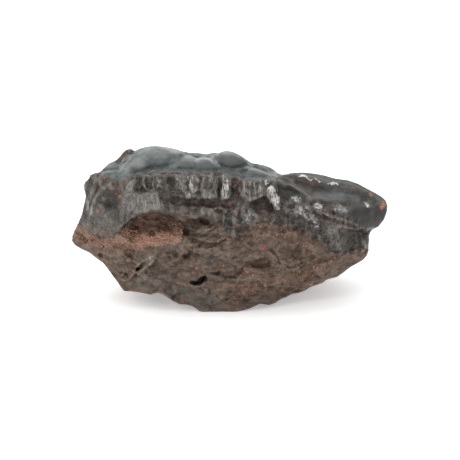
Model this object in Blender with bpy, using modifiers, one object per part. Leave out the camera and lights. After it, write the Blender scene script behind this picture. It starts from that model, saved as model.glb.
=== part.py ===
"""Hematite specimen: one solid stone, about 100 mm long.

A grey botryoidal skin of rounded domes covers the top. Below it the front is broken: a black fibrous
crust, then a brown, hollowed and pitted iron ore matrix that the stone rests on.

The broken face is laid out as it is seen, on a plane that leans back by FACE_LEAN: u runs to the right
along it and v runs up it, both in millimetres, from the foot of the stone. A point there is (u, v, depth),
with depth measured level, from the foot into the stone. Relief on the face is moved along its line of
sight, so a feature keeps its u and v.
"""

import math

import bmesh
import bpy
import numpy as np
from mathutils import Matrix, Vector, kdtree, noise

MM = 0.001
FACE_LEAN = math.radians(18.0)
LEAN_COS = math.cos(FACE_LEAN)
LEAN_SIN = math.sin(FACE_LEAN)
OUT_OF_FACE = np.array((0.0, -LEAN_COS, LEAN_SIN))
UP_FACE = np.array((0.0, LEAN_SIN, LEAN_COS))

# The solid's fineness
FUSE_VOXEL = 0.9
FINE_VOXEL = 0.8
MOST_TRIANGLES = 9400

# Where the middle of the stone's box lies in the layout, from its foot
MIDDLE = np.array((-0.06, 20.25, 0.35))

# The stone's outline, as its face is seen, from the left tip over the top and back along the foot
OUTLINE = [
    (-49.9, 22.9), (-49.8, 24.4), (-48.4, 27.2), (-46.8, 30.9), (-46.1, 33.9), (-45.4, 37.0),
    (-46.1, 40.2), (-45.6, 41.4), (-44.4, 42.1), (-44.1, 43.4), (-42.9, 44.1), (-41.0, 44.3),
    (-39.9, 45.6), (-38.0, 47.3), (-35.8, 48.4), (-34.5, 49.9), (-32.9, 51.5), (-31.6, 52.0),
    (-30.2, 51.7), (-29.1, 52.2), (-27.2, 52.7), (-24.7, 52.9), (-22.2, 52.7), (-19.7, 52.3),
    (-17.2, 51.7), (-14.7, 50.9), (-12.4, 50.9), (-9.9, 50.5), (-7.7, 50.1), (-5.7, 50.5), (-3.8, 51.0),
    (-1.6, 51.3), (0.6, 50.9), (2.8, 49.9), (5.1, 48.4), (7.0, 47.2), (9.2, 47.0), (11.1, 46.5),
    (13.0, 45.7), (14.6, 44.6), (16.1, 43.8), (17.7, 43.6), (19.3, 44.1), (23.1, 44.2), (26.4, 43.9),
    (29.7, 43.3), (33.2, 42.3), (37.3, 41.8), (40.5, 40.7), (42.7, 39.5), (46.2, 37.7), (48.2, 36.5),
    (49.3, 35.4), (49.8, 33.9), (49.6, 32.1), (48.7, 29.6), (47.0, 27.5), (45.6, 26.8), (44.6, 26.0),
    (43.9, 24.3), (44.1, 23.1), (43.7, 21.7), (43.9, 19.8), (43.4, 18.4), (42.2, 17.0), (40.2, 15.8),
    (38.3, 14.8), (35.8, 12.9), (33.9, 11.6), (30.6, 10.8), (29.3, 9.7), (25.4, 8.4), (23.4, 7.1),
    (21.5, 6.5), (19.6, 6.3), (17.6, 5.1), (16.3, 4.8), (14.4, 3.4), (12.4, 2.7), (9.5, 3.2), (6.3, 1.7),
    (3.2, 0.8), (-1.1, 0.3), (-3.8, 0.4), (-5.7, 0.0), (-7.8, 0.1), (-9.6, 0.8), (-11.4, 2.2),
    (-13.3, 2.9), (-16.0, 3.0), (-18.1, 4.1), (-19.9, 5.3), (-21.8, 6.5), (-23.6, 6.7), (-25.1, 6.0),
    (-27.3, 6.5), (-29.7, 6.9), (-33.4, 7.2), (-34.2, 8.0), (-35.2, 9.6), (-37.0, 12.0), (-38.5, 14.1),
    (-40.0, 16.0), (-42.2, 17.5), (-44.3, 19.2), (-47.5, 20.7), (-49.1, 21.7),
]
OUTLINE_ROUNDING = 0.4
# How far the stone passes the outline before its edges are smoothed, at first and at last
FIRST_BEYOND = 1.0
LAST_BEYOND = 0.3

# How far back the outline lies, as (u, depth): the block's foot and sides, and the nose
FOOT_DEPTH = [
    (-50.0, 14.0), (-42.0, 9.0), (-34.0, 6.0), (-20.0, 3.0), (-8.0, 0.0), (3.0, 1.0), (12.0, 5.0),
    (22.0, 8.0), (34.0, 10.5), (44.0, 15.0),
]
NOSE_DEPTH = [(16.0, 6.0), (24.0, 7.5), (31.0, 9.0), (38.0, 11.5), (44.0, 14.5), (50.0, 18.0)]
BLOCK_TOP = 30.0
NOSE_FOOT = 26.5
SPARE = 1.9

# The main block's other corners. Seen corners are (u, v, depth) and hidden ones (x, y, z).
BLOCK_SEEN = [
    (-34.8, 21.5, 1.0), (-15.0, 19.5, -4.0), (-4.7, 19.5, -5.0), (10.0, 19.0, -4.5), (23.0, 19.0, -1.5),
    (34.8, 19.3, 4.0), (-46.4, 34.2, 13.0), (-46.0, 41.0, 13.0), (-41.1, 43.8, 8.0), (-33.0, 42.6, -1.0),
    (-20.6, 44.0, -3.5), (-4.7, 43.8, -4.0), (6.3, 42.0, -3.5), (16.0, 42.0, -1.0), (30.0, 36.0, 0.0),
    (44.4, 25.5, 16.0),
]
BLOCK_HIDDEN = [
    (-24.0, 27.0, 0.1), (-12.0, 35.0, 0.1), (13.0, 36.0, 0.1), (25.0, 28.0, 0.1), (-40.0, 29.0, 11.0),
    (37.0, 30.0, 10.0), (-46.0, 26.0, 24.0), (-27.0, 41.0, 18.0), (6.0, 45.5, 17.0), (31.0, 39.0, 19.0),
    (43.0, 27.0, 22.0), (-36.0, 33.0, 28.0), (-14.0, 40.0, 28.0), (16.0, 40.0, 26.0), (33.0, 31.0, 24.0),
]

# The nose, the dark block that overhangs the right end
NOSE_SEEN = [
    (21.0, 36.6, -2.0), (27.0, 36.1, -2.0), (33.0, 35.4, -0.5), (38.0, 33.0, 4.0), (43.5, 32.0, 10.0),
    (22.0, 31.6, -2.5), (28.5, 28.8, 0.0), (34.8, 26.9, 3.0), (39.9, 26.3, 7.0), (12.0, 42.6, 1.0),
]
NOSE_HIDDEN = [(22.0, 30.0, 30.0), (37.0, 28.0, 26.0), (44.0, 25.0, 24.0), (30.0, 28.0, 20.0)]

# Small lumps that fill out the outline: (u, v, depth, radius along, radius up)
LUMPS = [
    (-43.8, 41.4, 12.0, 2.4, 2.6), (-40.9, 42.8, 10.0, 2.6, 1.9), (-45.2, 39.0, 13.5, 1.4, 2.4),
    (-32.2, 49.4, 19.0, 2.7, 2.9), (-35.0, 47.2, 18.0, 2.0, 2.6), (42.2, 21.6, 14.0, 2.2, 3.4),
    (-26.4, 8.4, 4.6, 3.4, 2.0), (-47.4, 25.2, 14.0, 2.3, 2.6), (10.2, 5.2, 5.0, 4.4, 2.0),
]

# The domes that show over the broken face, each placed by its crest:
# (u, crest v, depth, half width, half depth, half height)
DOMES = [
    (-22.5, 53.1, 13.0, 14.5, 13.6, 9.4), (-31.4, 47.6, 4.6, 5.0, 7.6, 5.2),
    (-30.6, 50.4, 10.0, 5.0, 7.0, 5.6), (-37.4, 48.2, 14.0, 4.2, 5.6, 4.6),
    (-40.0, 46.2, 12.5, 3.2, 4.5, 3.4), (-37.8, 45.8, 7.0, 3.9, 4.5, 3.8),
    (-35.0, 43.8, 3.0, 3.7, 3.6, 3.2), (-28.6, 45.0, 0.6, 4.6, 3.4, 3.0), (-13.9, 49.6, 5.6, 8.0, 8.5, 5.0),
    (-7.8, 49.1, 4.2, 6.6, 7.6, 4.6), (-28.2, 48.9, 5.2, 4.6, 7.4, 5.2), (-21.0, 45.6, 1.2, 8.4, 4.2, 2.8),
    (-10.5, 51.0, 17.0, 9.0, 7.0, 5.6),
    (-0.2, 51.5, 9.6, 7.6, 9.0, 7.4), (5.4, 48.6, 13.0, 5.6, 8.4, 5.8), (-1.4, 45.3, 1.0, 6.6, 4.4, 3.2),
    (10.2, 47.2, 13.6, 5.8, 8.0, 5.8), (6.4, 45.8, 5.0, 7.4, 7.2, 5.0), (13.8, 44.6, 8.5, 5.2, 7.0, 4.6),
    (-10.4, 45.1, 0.0, 8.6, 3.2, 2.8), (18.6, 43.7, 12.0, 5.2, 7.0, 4.6), (-5.2, 51.0, 15.0, 5.4, 6.0, 5.0),
]
# How often the domes are drawn together where they meet
FOLD_ROUNDS = 3
# The folds between the domes, as they are seen: the path, half width and depth
FOLDS = [
    ([(-29.6, 51.1), (-31.2, 49.0), (-32.7, 46.6), (-34.4, 44.3)], 1.3, 0.4),
    ([(-14.6, 50.2), (-16.2, 48.7), (-18.3, 47.2), (-21.4, 46.2), (-25.6, 45.8), (-29.0, 45.0),
      (-30.2, 43.9)], 0.8, 0.4),
    ([(-10.7, 48.8), (-11.0, 47.4), (-11.5, 45.7)], 0.8, 0.35),
    ([(-16.0, 45.6), (-11.4, 45.4), (-7.0, 45.2), (-3.0, 45.3)], 0.9, 0.35),
    ([(-4.9, 49.4), (-4.5, 48.2), (-3.4, 47.0), (-1.8, 46.2), (1.8, 46.0), (4.8, 46.6), (6.9, 47.5)],
     1.0, 0.6),
    ([(7.4, 46.6), (9.0, 46.1), (13.2, 44.7)], 0.9, 0.45),
    ([(5.2, 44.7), (7.6, 44.2), (10.5, 43.0)], 0.8, 0.25),
    ([(-40.0, 45.1), (-37.7, 45.7), (-35.0, 45.1)], 0.8, 0.5),
    ([(-36.4, 48.2), (-34.4, 47.4), (-32.4, 48.8), (-30.2, 51.6)], 0.8, 0.6),
    ([(-38.5, 43.6), (-36.8, 44.2), (-35.0, 44.5)], 0.7, 0.4),
]
# The domes behind them: rows of (depth, first u, last u, count, half width, drop below the skyline)
DOME_ROWS = [
    (21.5, -36.0, 40.0, 8, 7.6, 0.9), (27.5, -37.0, 34.0, 7, 8.6, 2.4), (32.5, -34.0, 34.0, 7, 8.2, 5.0),
    (36.0, -30.0, 30.0, 6, 7.6, 9.0), (39.0, -24.0, 24.0, 5, 7.0, 14.5),
]
ROW_JITTER = 2.2

# The skin's lower edge on the face
RIM = [
    (-50.0, 46.5), (-40.8, 44.6), (-38.6, 43.4), (-35.8, 41.8), (-33.5, 42.4), (-30.1, 43.4),
    (-29.1, 44.1), (-26.3, 43.7), (-24.4, 44.8), (-20.9, 44.4), (-13.3, 44.3), (-10.1, 43.9),
    (-6.0, 44.4), (-2.5, 44.3), (0.0, 43.7), (2.2, 43.2), (4.4, 42.6), (7.0, 42.1), (12.0, 41.9),
    (13.9, 42.6), (16.5, 43.4), (19.0, 44.0), (23.1, 43.5), (26.3, 43.2), (29.7, 42.5), (33.2, 41.5),
    (37.3, 40.9), (40.5, 39.9), (42.7, 38.7), (46.2, 36.9), (50.6, 33.9),
]

# How far down the skin reaches behind
SKIN_FOOT = 24.0
# The depth at which the first domes end, and nothing behind them is seen
SEEN_DEPTH = 20.0
# The bare knob at the skin's left shoulder
KNOB = [
    (-37.2, 48.8), (-34.8, 51.4), (-32.6, 53.4), (-30.4, 53.2), (-30.3, 51.5), (-32.4, 49.0), (-34.4, 47.6),
]

# The crust's lower edge on the face, how proud it stands and how soft the step is
CRUST_EDGE = [
    (-50.0, 25.6), (-47.5, 25.6), (-42.7, 24.4), (-38.0, 23.7), (-34.8, 25.9), (-32.9, 28.2),
    (-30.4, 30.1), (-27.5, 31.0), (-25.9, 31.6), (-22.0, 31.6), (-19.3, 31.0), (-16.8, 30.2),
    (-12.7, 30.4), (-7.9, 30.7), (-4.7, 29.7), (-2.5, 28.8), (-0.3, 25.6), (1.3, 23.7), (2.8, 25.6),
    (4.1, 28.2), (7.0, 28.8), (10.1, 29.7), (15.8, 28.5), (22.2, 26.6), (27.8, 23.4), (31.6, 19.9),
    (36.4, 18.7), (41.1, 19.6), (44.0, 17.7),
]
CRUST_PROUD = 1.0
CRUST_SOFT = 1.0

# Slabs of the crust, each broken off flat: its outline, how proud it stands at its middle, and its
# slope across and upward
SLAB_EDGE = 0.5
SLABS = [
    ([(-32.9, 38.0), (-28.0, 38.3), (-22.5, 38.8), (-21.7, 35.3), (-22.0, 32.8), (-26.1, 32.0),
      (-31.8, 32.6), (-33.1, 35.3)], 0.9, 0.03, -0.03),
    ([(-29.7, 41.8), (-27.7, 42.9), (-22.2, 43.4), (-22.0, 39.1), (-24.7, 38.9), (-28.0, 38.3),
      (-30.1, 38.9)], -0.5, 0.0, 0.06),
    ([(-32.6, 41.1), (-30.1, 41.8), (-30.1, 38.8), (-32.6, 38.3)], 0.5, 0.0, -0.05),
    ([(-21.7, 43.4), (-17.4, 43.5), (-17.4, 40.0), (-15.5, 36.1), (-21.2, 37.0)], -0.2, -0.06, -0.04),
    ([(-16.6, 43.7), (-10.3, 43.5), (-9.8, 41.6), (-10.3, 39.2), (-11.1, 37.1), (-13.4, 36.1),
      (-15.0, 38.9), (-17.2, 40.0)], 1.2, 0.02, -0.12),
    ([(-8.9, 43.2), (-7.7, 43.4), (-3.5, 44.0), (-3.8, 38.1), (-4.2, 36.3), (-8.7, 36.1),
      (-9.3, 39.2)], 0.7, -0.06, -0.05),
    ([(-2.4, 44.0), (-0.5, 42.9), (0.3, 40.8), (0.0, 36.1), (-2.7, 36.1), (-2.8, 38.1),
      (-2.4, 40.8)], 1.2, 0.14, -0.16),
    ([(0.5, 42.7), (3.2, 42.1), (3.3, 37.7), (2.2, 34.8), (0.3, 35.4)], -0.5, 0.05, 0.0),
    ([(3.7, 41.8), (9.7, 41.8), (11.1, 39.2), (10.8, 37.1), (8.4, 35.9), (4.7, 35.0), (3.4, 37.7)],
     0.8, 0.03, -0.03),
    ([(11.3, 39.2), (13.1, 40.5), (15.5, 36.8), (15.9, 35.2), (15.0, 32.9), (13.2, 35.2)], 1.3, 0.1, -0.28),
    ([(-20.9, 33.9), (-15.2, 33.9), (-10.1, 33.5), (-4.7, 33.5), (-0.6, 32.9), (-1.3, 31.3),
      (-5.1, 30.5), (-12.7, 30.5), (-18.4, 31.2)], 0.5, 0.0, -0.15),
    ([(4.1, 33.2), (7.0, 33.2), (8.5, 31.3), (8.2, 28.8), (4.4, 28.8)], 0.7, -0.03, -0.1),
    ([(15.3, 40.6), (19.1, 40.3), (21.8, 38.4), (24.8, 36.2), (22.8, 36.7), (16.4, 36.5),
      (15.0, 38.7)], -0.4, 0.05, -0.2),
    ([(16.6, 35.9), (22.9, 36.8), (25.3, 34.9), (25.6, 32.2), (28.1, 27.8), (26.4, 28.4),
      (21.0, 31.1), (16.9, 32.2)], 0.7, 0.0, -0.12),
    ([(26.2, 34.9), (29.1, 34.2), (28.8, 32.4), (26.4, 32.9)], 0.7, 0.05, -0.25),
    ([(32.9, 34.6), (36.2, 33.9), (36.4, 31.6), (33.5, 32.3)], 0.5, 0.1, -0.2),
    ([(29.7, 29.1), (33.5, 29.4), (36.2, 27.5), (36.4, 23.1), (34.2, 20.7), (30.7, 23.1)], 0.7, 0.0, -0.14),
]

# Dished hollows: the outline, the depth and how far in from the outline the full depth is reached
HOLLOWS = [
    ([(21.5, 43.3), (24.8, 42.6), (27.8, 42.0), (30.3, 41.0), (34.1, 40.4), (36.8, 39.9), (39.5, 38.9),
      (41.6, 37.4), (40.8, 36.2), (36.2, 36.2), (31.9, 36.2), (27.0, 36.5), (25.3, 36.8), (21.8, 38.9),
      (19.3, 40.6), (19.4, 42.3)], 2.3, 3.0),
    ([(15.4, 40.4), (19.0, 40.6), (22.4, 38.4), (25.0, 36.7), (21.0, 37.2), (16.4, 38.0)], 0.7, 1.2),
    ([(36.4, 34.9), (40.6, 34.8), (44.6, 33.0), (44.0, 30.4), (38.0, 31.0)], 0.6, 2.4),
    ([(-39.7, 38.8), (-35.6, 40.7), (-33.1, 38.5), (-34.0, 34.2), (-35.6, 32.6), (-39.7, 30.9),
      (-41.0, 34.7)], 1.9, 3.0),
    ([(17.8, 20.6), (21.0, 21.8), (23.8, 20.6), (23.6, 17.8), (20.6, 16.8), (17.6, 18.0)], 0.9, 2.2),
    ([(5.6, 16.4), (9.6, 18.6), (13.2, 17.6), (13.0, 14.6), (9.6, 13.6), (6.2, 14.2)], 1.7, 1.4),
    ([(-14.8, 28.9), (-13.4, 28.2), (-12.4, 25.8), (-12.8, 24.4), (-14.9, 24.6)], 1.9, 0.9),
    ([(-20.2, 19.6), (-16.2, 19.9), (-15.4, 17.6), (-17.8, 16.4), (-20.4, 17.2)], 0.8, 1.2),
]

# Alcoves with an overhanging roof and a floor that slopes out: roof and floor, depth, the share of the
# height that the floor takes, the height at which the full depth is reached, and how far from the left end
ALCOVES = [
    ([(-35.4, 25.3), (-34.5, 26.4), (-32.9, 28.2), (-30.4, 30.1), (-27.5, 31.0), (-25.9, 31.6),
      (-22.0, 31.6), (-19.3, 31.0), (-16.8, 30.1), (-14.6, 29.0)],
     [(-35.4, 24.2), (-32.9, 23.1), (-30.4, 21.8), (-27.5, 21.8), (-24.7, 22.2), (-20.6, 22.0),
      (-16.5, 22.8), (-14.6, 24.1)], 6.2, 0.66, 8.0, 6.0),
    ([(-15.0, 28.9), (-12.7, 30.2), (-9.5, 30.2), (-7.0, 29.4), (-4.4, 27.5)],
     [(-15.0, 24.4), (-12.7, 24.2), (-10.1, 25.2), (-7.3, 26.6), (-4.4, 27.2)], 2.5, 0.76, 3.4, 1.2),
    ([(-12.7, 23.9), (-9.5, 25.3), (-5.7, 25.9), (-1.9, 24.4)],
     [(-12.7, 23.4), (-10.4, 22.3), (-8.2, 21.6), (-5.7, 21.5), (-3.2, 22.4), (-1.3, 23.4)],
     1.4, 0.85, 2.0, 1.6),
    ([(5.1, 34.5), (6.0, 35.2), (8.5, 35.9), (10.8, 37.1), (12.1, 35.5), (13.7, 33.2), (15.2, 31.0)],
     [(5.1, 33.8), (7.1, 32.6), (8.2, 30.8), (10.1, 29.6), (12.0, 29.4), (13.7, 29.8), (15.2, 30.6)],
     2.6, 0.9, 5.0, 2.4),
]

# Lumps of the matrix: (u, v, half width, half height, turn in degrees, height)
SWELLINGS = [
    (8.6, 11.2, 6.4, 2.9, 14.0, 1.5), (-26.0, 17.4, 7.0, 3.2, 38.0, 1.0), (-10.6, 15.6, 5.0, 2.6, 20.0, 1.0),
    (-0.4, 18.4, 6.4, 3.6, 0.0, 1.3), (-23.0, 10.6, 6.4, 2.8, -6.0, 1.1), (26.6, 13.2, 7.0, 2.2, 24.0, 1.0),
    (-3.6, 8.2, 6.0, 2.6, 6.0, 0.9), (15.6, 10.4, 4.6, 2.4, 20.0, 0.9), (-37.6, 18.6, 5.0, 2.6, -38.0, 0.8),
    (10.6, 24.4, 7.0, 3.0, -6.0, 1.0), (26.6, 20.2, 3.0, 2.4, -30.0, 0.8), (-19.6, 14.8, 3.6, 1.8, 10.0, 0.6),
    (-8.0, 24.0, 3.4, 1.6, 8.0, 0.8), (20.6, 24.2, 4.2, 1.6, -14.0, 0.7), (35.0, 16.4, 3.6, 1.8, 32.0, 0.6),
]

# Pits with steep walls, in the same terms, by depth
PITS = [
    (-11.0, 9.9, 1.7, 0.9, 4.0, 3.4), (-9.4, 10.3, 1.9, 1.2, 24.0, 3.6), (-8.2, 11.2, 1.2, 1.0, 50.0, 3.4),
    (-13.9, 17.9, 1.6, 1.3, 0.0, 1.5), (-28.4, 14.7, 2.3, 1.0, 40.0, 2.5), (-33.0, 12.0, 0.9, 1.2, 0.0, 1.4),
    (-40.3, 18.7, 1.2, 0.8, -20.0, 1.4), (-6.6, 6.6, 0.8, 1.2, 10.0, 1.0), (-0.9, 4.4, 0.8, 0.7, 0.0, 1.0),
    (-24.6, 25.4, 1.6, 1.0, 0.0, 1.2), (-36.4, 17.4, 1.0, 0.8, 0.0, 0.8),
]

# Cracks: the path, half width and depth
CRACKS = [
    ([(-21.2, 36.9), (-18.4, 36.0), (-15.2, 35.3), (-10.1, 34.8), (-7.0, 34.8), (-3.2, 34.8),
      (1.4, 33.9)], 1.8, 1.3),
    ([(-28.0, 38.1), (-24.7, 38.8), (-22.0, 39.0)], 0.6, 0.8),
    ([(-4.2, 32.6), (-1.0, 31.3)], 0.7, 1.2),
    ([(-3.1, 44.0), (-3.2, 38.0), (-3.4, 35.6)], 0.4, 0.8),
    ([(-11.7, 22.7), (-8.7, 21.8), (-6.6, 21.3), (-3.2, 22.4), (-1.4, 23.3)], 0.8, 1.2),
    ([(-6.3, 13.0), (-3.5, 12.7), (-1.3, 11.6), (1.7, 11.1)], 0.9, 1.5),
    ([(1.7, 11.1), (3.0, 12.6), (4.3, 14.9), (6.6, 15.8)], 0.7, 0.7),
    ([(13.1, 19.9), (14.7, 18.4), (15.3, 16.5)], 0.8, 1.4),
    ([(15.3, 16.5), (16.3, 15.5), (18.9, 14.4), (20.9, 15.2), (22.8, 15.8)], 0.8, 0.9),
    ([(12.7, 7.9), (14.4, 7.7), (17.6, 7.1), (20.2, 7.7)], 0.7, 1.1),
    ([(-33.0, 9.4), (-31.2, 10.4), (-29.0, 12.0), (-26.6, 12.9), (-24.4, 14.9), (-22.6, 18.0)], 0.7, 0.7),
    ([(26.0, 31.6), (29.1, 30.9), (33.2, 29.5), (36.2, 28.4), (39.5, 27.3)], 0.8, 1.1),
    ([(-14.6, 30.2), (-14.4, 26.0), (-15.0, 23.4)], 0.6, 1.2),
    ([(31.0, 20.6), (33.6, 19.4), (37.4, 19.4), (40.0, 20.8)], 0.8, 0.9),
]

# Ribs stand up where cracks sink in: the path, half width and height
RIBS = [
    ([(3.2, 37.0), (2.5, 33.2), (1.6, 29.4), (1.3, 25.1)], 1.5, 0.4),
    ([(19.1, 40.6), (21.8, 38.7), (25.3, 36.5)], 0.9, 0.9),
    ([(26.4, 32.3), (29.1, 31.8), (33.2, 30.4), (36.2, 29.3), (39.5, 28.2)], 0.8, 1.1),
    ([(41.4, 24.3), (42.2, 22.4), (43.2, 20.5)], 0.8, 1.0),
    ([(-27.5, 42.5), (-27.1, 40.4), (-26.3, 39.1), (-24.4, 38.9), (-22.7, 39.6), (-22.3, 41.2),
      (-22.9, 42.7)], 0.55, 0.9),
    ([(-37.3, 41.2), (-38.3, 40.6), (-40.5, 39.3), (-42.4, 36.4), (-43.5, 34.2), (-44.0, 31.2)], 1.0, 1.0),
    ([(-41.8, 42.6), (-43.2, 39.3), (-44.0, 36.9), (-44.9, 33.9)], 0.9, 0.9),
    ([(21.8, 43.6), (24.8, 43.0), (27.8, 42.5), (30.3, 41.4), (34.1, 40.9)], 0.7, 0.5),
    ([(-31.5, 11.4), (-29.8, 13.0), (-27.5, 13.7), (-25.6, 15.0), (-24.1, 16.8)], 0.6, 0.6),
    ([(-30.9, 12.2), (-29.8, 14.5), (-27.9, 16.2), (-25.2, 17.5), (-24.1, 18.1)], 0.5, 0.5),
    ([(24.6, 36.2), (31.9, 35.7), (37.0, 35.6), (40.4, 35.9)], 0.9, 0.6),
]

# Surfaces of the face that broke smooth: the outline, and the share of the rough break that is lost
SMOOTH = [
    ([(14.6, 41.6), (22.0, 45.0), (50.0, 40.0), (51.0, 30.0), (45.0, 26.0), (38.0, 30.0), (26.0, 35.4),
      (16.0, 36.4)], 0.85),
    ([(-32.9, 38.0), (-22.5, 38.8), (-22.0, 32.8), (-26.1, 32.0), (-33.1, 33.3)], 0.7),
    ([(11.3, 39.2), (13.1, 40.5), (15.9, 35.2), (15.0, 32.9), (13.2, 35.2)], 0.7),
    ([(5.6, 34.6), (11.0, 37.0), (13.6, 33.0), (8.4, 32.2)], 0.8),
    ([(17.8, 20.6), (23.8, 20.6), (23.6, 17.8), (17.6, 17.8)], 0.6),
    ([(-46.0, 42.0), (-41.0, 43.0), (-34.0, 38.0), (-33.6, 33.0), (-35.4, 27.0), (-38.0, 24.6), (-46.4, 25.6),
      (-47.4, 30.0)], 0.55),
]

# Flakes of the broken surface: size across, deep and up, and how far they step
CRUST_FLAKES = ((1.8, 5.0, 6.5), 0.5)
ROCK_FLAKES = ((7.5, 7.5, 4.6), 1.0)
FINE_FLAKES = ((2.6, 2.6, 1.9), 0.3)
BACK_FLAKES = ((14.0, 14.0, 10.0), 1.3)

# Unevenness: patches per millimetre and height, of the swells, the back and the fine break
SWELLS = (0.07, 0.7)
BACK_SWELLS = (0.09, 1.1)
ROUGHNESS = (0.4, 0.26)

# The box that the flakes fill: its low corner and its size
STONE_LOW = np.array((-52.0, -9.0, -2.0))
STONE_SPAN = np.array((104.0, 60.0, 56.0))

ORE_COLOUR = (0.105, 0.085, 0.078, 1.0)


def seen(u, v, depth):
    """The place of a point of the broken face, in millimetres, x right, y back and z up."""
    return (u, depth, (v - depth * LEAN_SIN) / LEAN_COS)


def face_place(points):
    """Where each point is seen on the face: u and v."""
    return points[:, 0], points @ UP_FACE


def smooth_step(values, low, high):
    """0 below low, 1 above high and a smooth rise between."""
    t = np.clip((values - low) / (high - low), 0.0, 1.0)
    return t * t * (3.0 - 2.0 * t)


def line_height(path, u):
    """The height of a line at each u."""
    along, up = zip(*path)
    return np.interp(u, along, up)


def distance_to_path(path, u, v):
    """How far each point of the face is from an open path."""
    nearest = np.full(len(u), np.inf)
    for (u0, v0), (u1, v1) in zip(path, path[1:]):
        du, dv = u1 - u0, v1 - v0
        t = np.clip(((u - u0) * du + (v - v0) * dv) / (du * du + dv * dv), 0.0, 1.0)
        nearest = np.minimum(nearest, np.hypot(u - u0 - t * du, v - v0 - t * dv))
    return nearest


def depth_inside(loop, u, v):
    """How far each point of the face is inside a closed loop, negative outside."""
    closed = [*loop, loop[0]]
    inside = np.zeros(len(u), bool)
    for (u0, v0), (u1, v1) in zip(closed, closed[1:]):
        if v0 != v1:
            inside ^= ((v < v0) != (v < v1)) & (u < u0 + (v - v0) * (u1 - u0) / (v1 - v0))
    return np.where(inside, 1.0, -1.0) * distance_to_path(closed, u, v)


def oval_reach(u, v, oval):
    """0 at an oval's centre and 1 on its outline."""
    u0, v0, half_width, half_height, turn = oval
    c, s = math.cos(math.radians(turn)), math.sin(math.radians(turn))
    across = (u - u0) * c + (v - v0) * s
    up = (v - v0) * c - (u - u0) * s
    return np.hypot(across / half_width, up / half_height)


def slab_relief(slab, u, v):
    """One flat slab that slopes across and upward."""
    loop, height, across, upward = slab
    middle_u, middle_v = np.mean(loop, axis=0)
    inside = smooth_step(depth_inside(loop, u, v), -SLAB_EDGE, SLAB_EDGE)
    return inside * (height + across * (u - middle_u) + upward * (v - middle_v))


def alcove_relief(alcove, u, v):
    """A floor that falls back as it rises, a back wall, and a roof that hangs over them."""
    roof, floor, depth, share, full_height, reach = alcove
    high, low = line_height(roof, u), line_height(floor, u)
    t = (v - low) / np.maximum(high - low, 0.2)
    slope = np.clip(t / share, 0.0, 1.0) ** 1.25 * smooth_step(-t, -1.06, -0.9)
    left, right = roof[0][0], roof[-1][0]
    ends = smooth_step(u, left - 0.3, left + reach) * smooth_step(-u, -right - 0.3, -right + 0.8)
    return -depth * slope * ends * np.clip((high - low) / full_height, 0.0, 1.0)


def fractal(points, scale, octaves):
    """Layered noise at each point, about -1 to 1."""
    return np.array([noise.fractal(Vector(p) * scale, 0.9, 2.1, octaves) for p in points])


def flakes(points, size, seed):
    """Flat, tilted flakes side by side: the rise of each point, about -1 to 1."""
    spread = np.random.default_rng(seed)
    count = int(np.prod(STONE_SPAN / size))
    places = (STONE_LOW + spread.random((count, 3)) * STONE_SPAN) / size
    tree = kdtree.KDTree(count)
    for index, place in enumerate(places):
        tree.insert(place, index)
    tree.balance()
    scaled = points / size
    own = np.array([tree.find(p)[1] for p in scaled])
    tilt = spread.uniform(-1.0, 1.0, (count, 3))[own]
    step = spread.uniform(-0.5, 0.5, count)[own]
    return step + 0.7 * np.sum(tilt * (scaled - places[own]), axis=1)


def face_relief(u, v):
    """How far each point of the broken face stands out, in millimetres."""
    waver = 0.5 * np.sin(u * 1.1) + 0.35 * np.sin(u * 2.9 + 1.0)
    above_edge = v - line_height(CRUST_EDGE, u) + waver
    relief = CRUST_PROUD * smooth_step(above_edge, -CRUST_SOFT / 2, CRUST_SOFT / 2)
    for slab in SLABS:
        relief += slab_relief(slab, u, v)
    for loop, depth, reach in HOLLOWS:
        relief -= depth * smooth_step(depth_inside(loop, u, v), 0.0, reach)
    for *oval, height in SWELLINGS:
        relief += height * smooth_step(-oval_reach(u, v, oval), -1.0, 0.0)
    for *oval, depth in PITS:
        relief -= depth * smooth_step(-oval_reach(u, v, oval), -1.05, -0.5)
    for path, half_width, depth in CRACKS:
        relief -= depth * smooth_step(-distance_to_path(path, u, v), -half_width, 0.0)
    for path, half_width, height in RIBS:
        relief += height * smooth_step(-distance_to_path(path, u, v), -half_width, 0.0)
    for alcove in ALCOVES:
        relief += alcove_relief(alcove, u, v)
    return relief


def fold_depth(u, v):
    """How deep the folds of the skin are, in millimetres."""
    depth = np.zeros(len(u))
    for path, half_width, deepest in FOLDS:
        depth = np.maximum(depth, deepest * smooth_step(-distance_to_path(path, u, v), -half_width, 0.0))
    return depth


def add_hull(mesh, corners):
    """A convex block through its corners."""
    block = bmesh.new()
    for corner in corners:
        block.verts.new(Vector(corner) * MM)
    hull = bmesh.ops.convex_hull(block, input=block.verts)
    loose = [item for item in hull["geom_interior"] if isinstance(item, bmesh.types.BMVert)]
    bmesh.ops.delete(block, geom=loose, context="VERTS")
    part = bpy.data.meshes.new("block")
    block.to_mesh(part)
    mesh.from_mesh(part)
    bpy.data.meshes.remove(part)
    block.free()


def add_ball(mesh, centre, radii):
    """A rounded lump, in millimetres."""
    place = Matrix.Translation(Vector(centre) * MM) @ Matrix.Diagonal((*(Vector(radii) * MM), 1.0))
    bmesh.ops.create_icosphere(mesh, subdivisions=4, radius=1.0, matrix=place)


def add_dome(mesh, u, crest, depth, half_width, half_depth, half_height):
    """A dome whose skyline, as the face is seen, is at the crest's v."""
    rise = math.hypot(half_height * LEAN_COS, half_depth * LEAN_SIN)
    add_ball(mesh, seen(u, crest - rise, depth), (half_width, half_depth, half_height))


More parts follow.
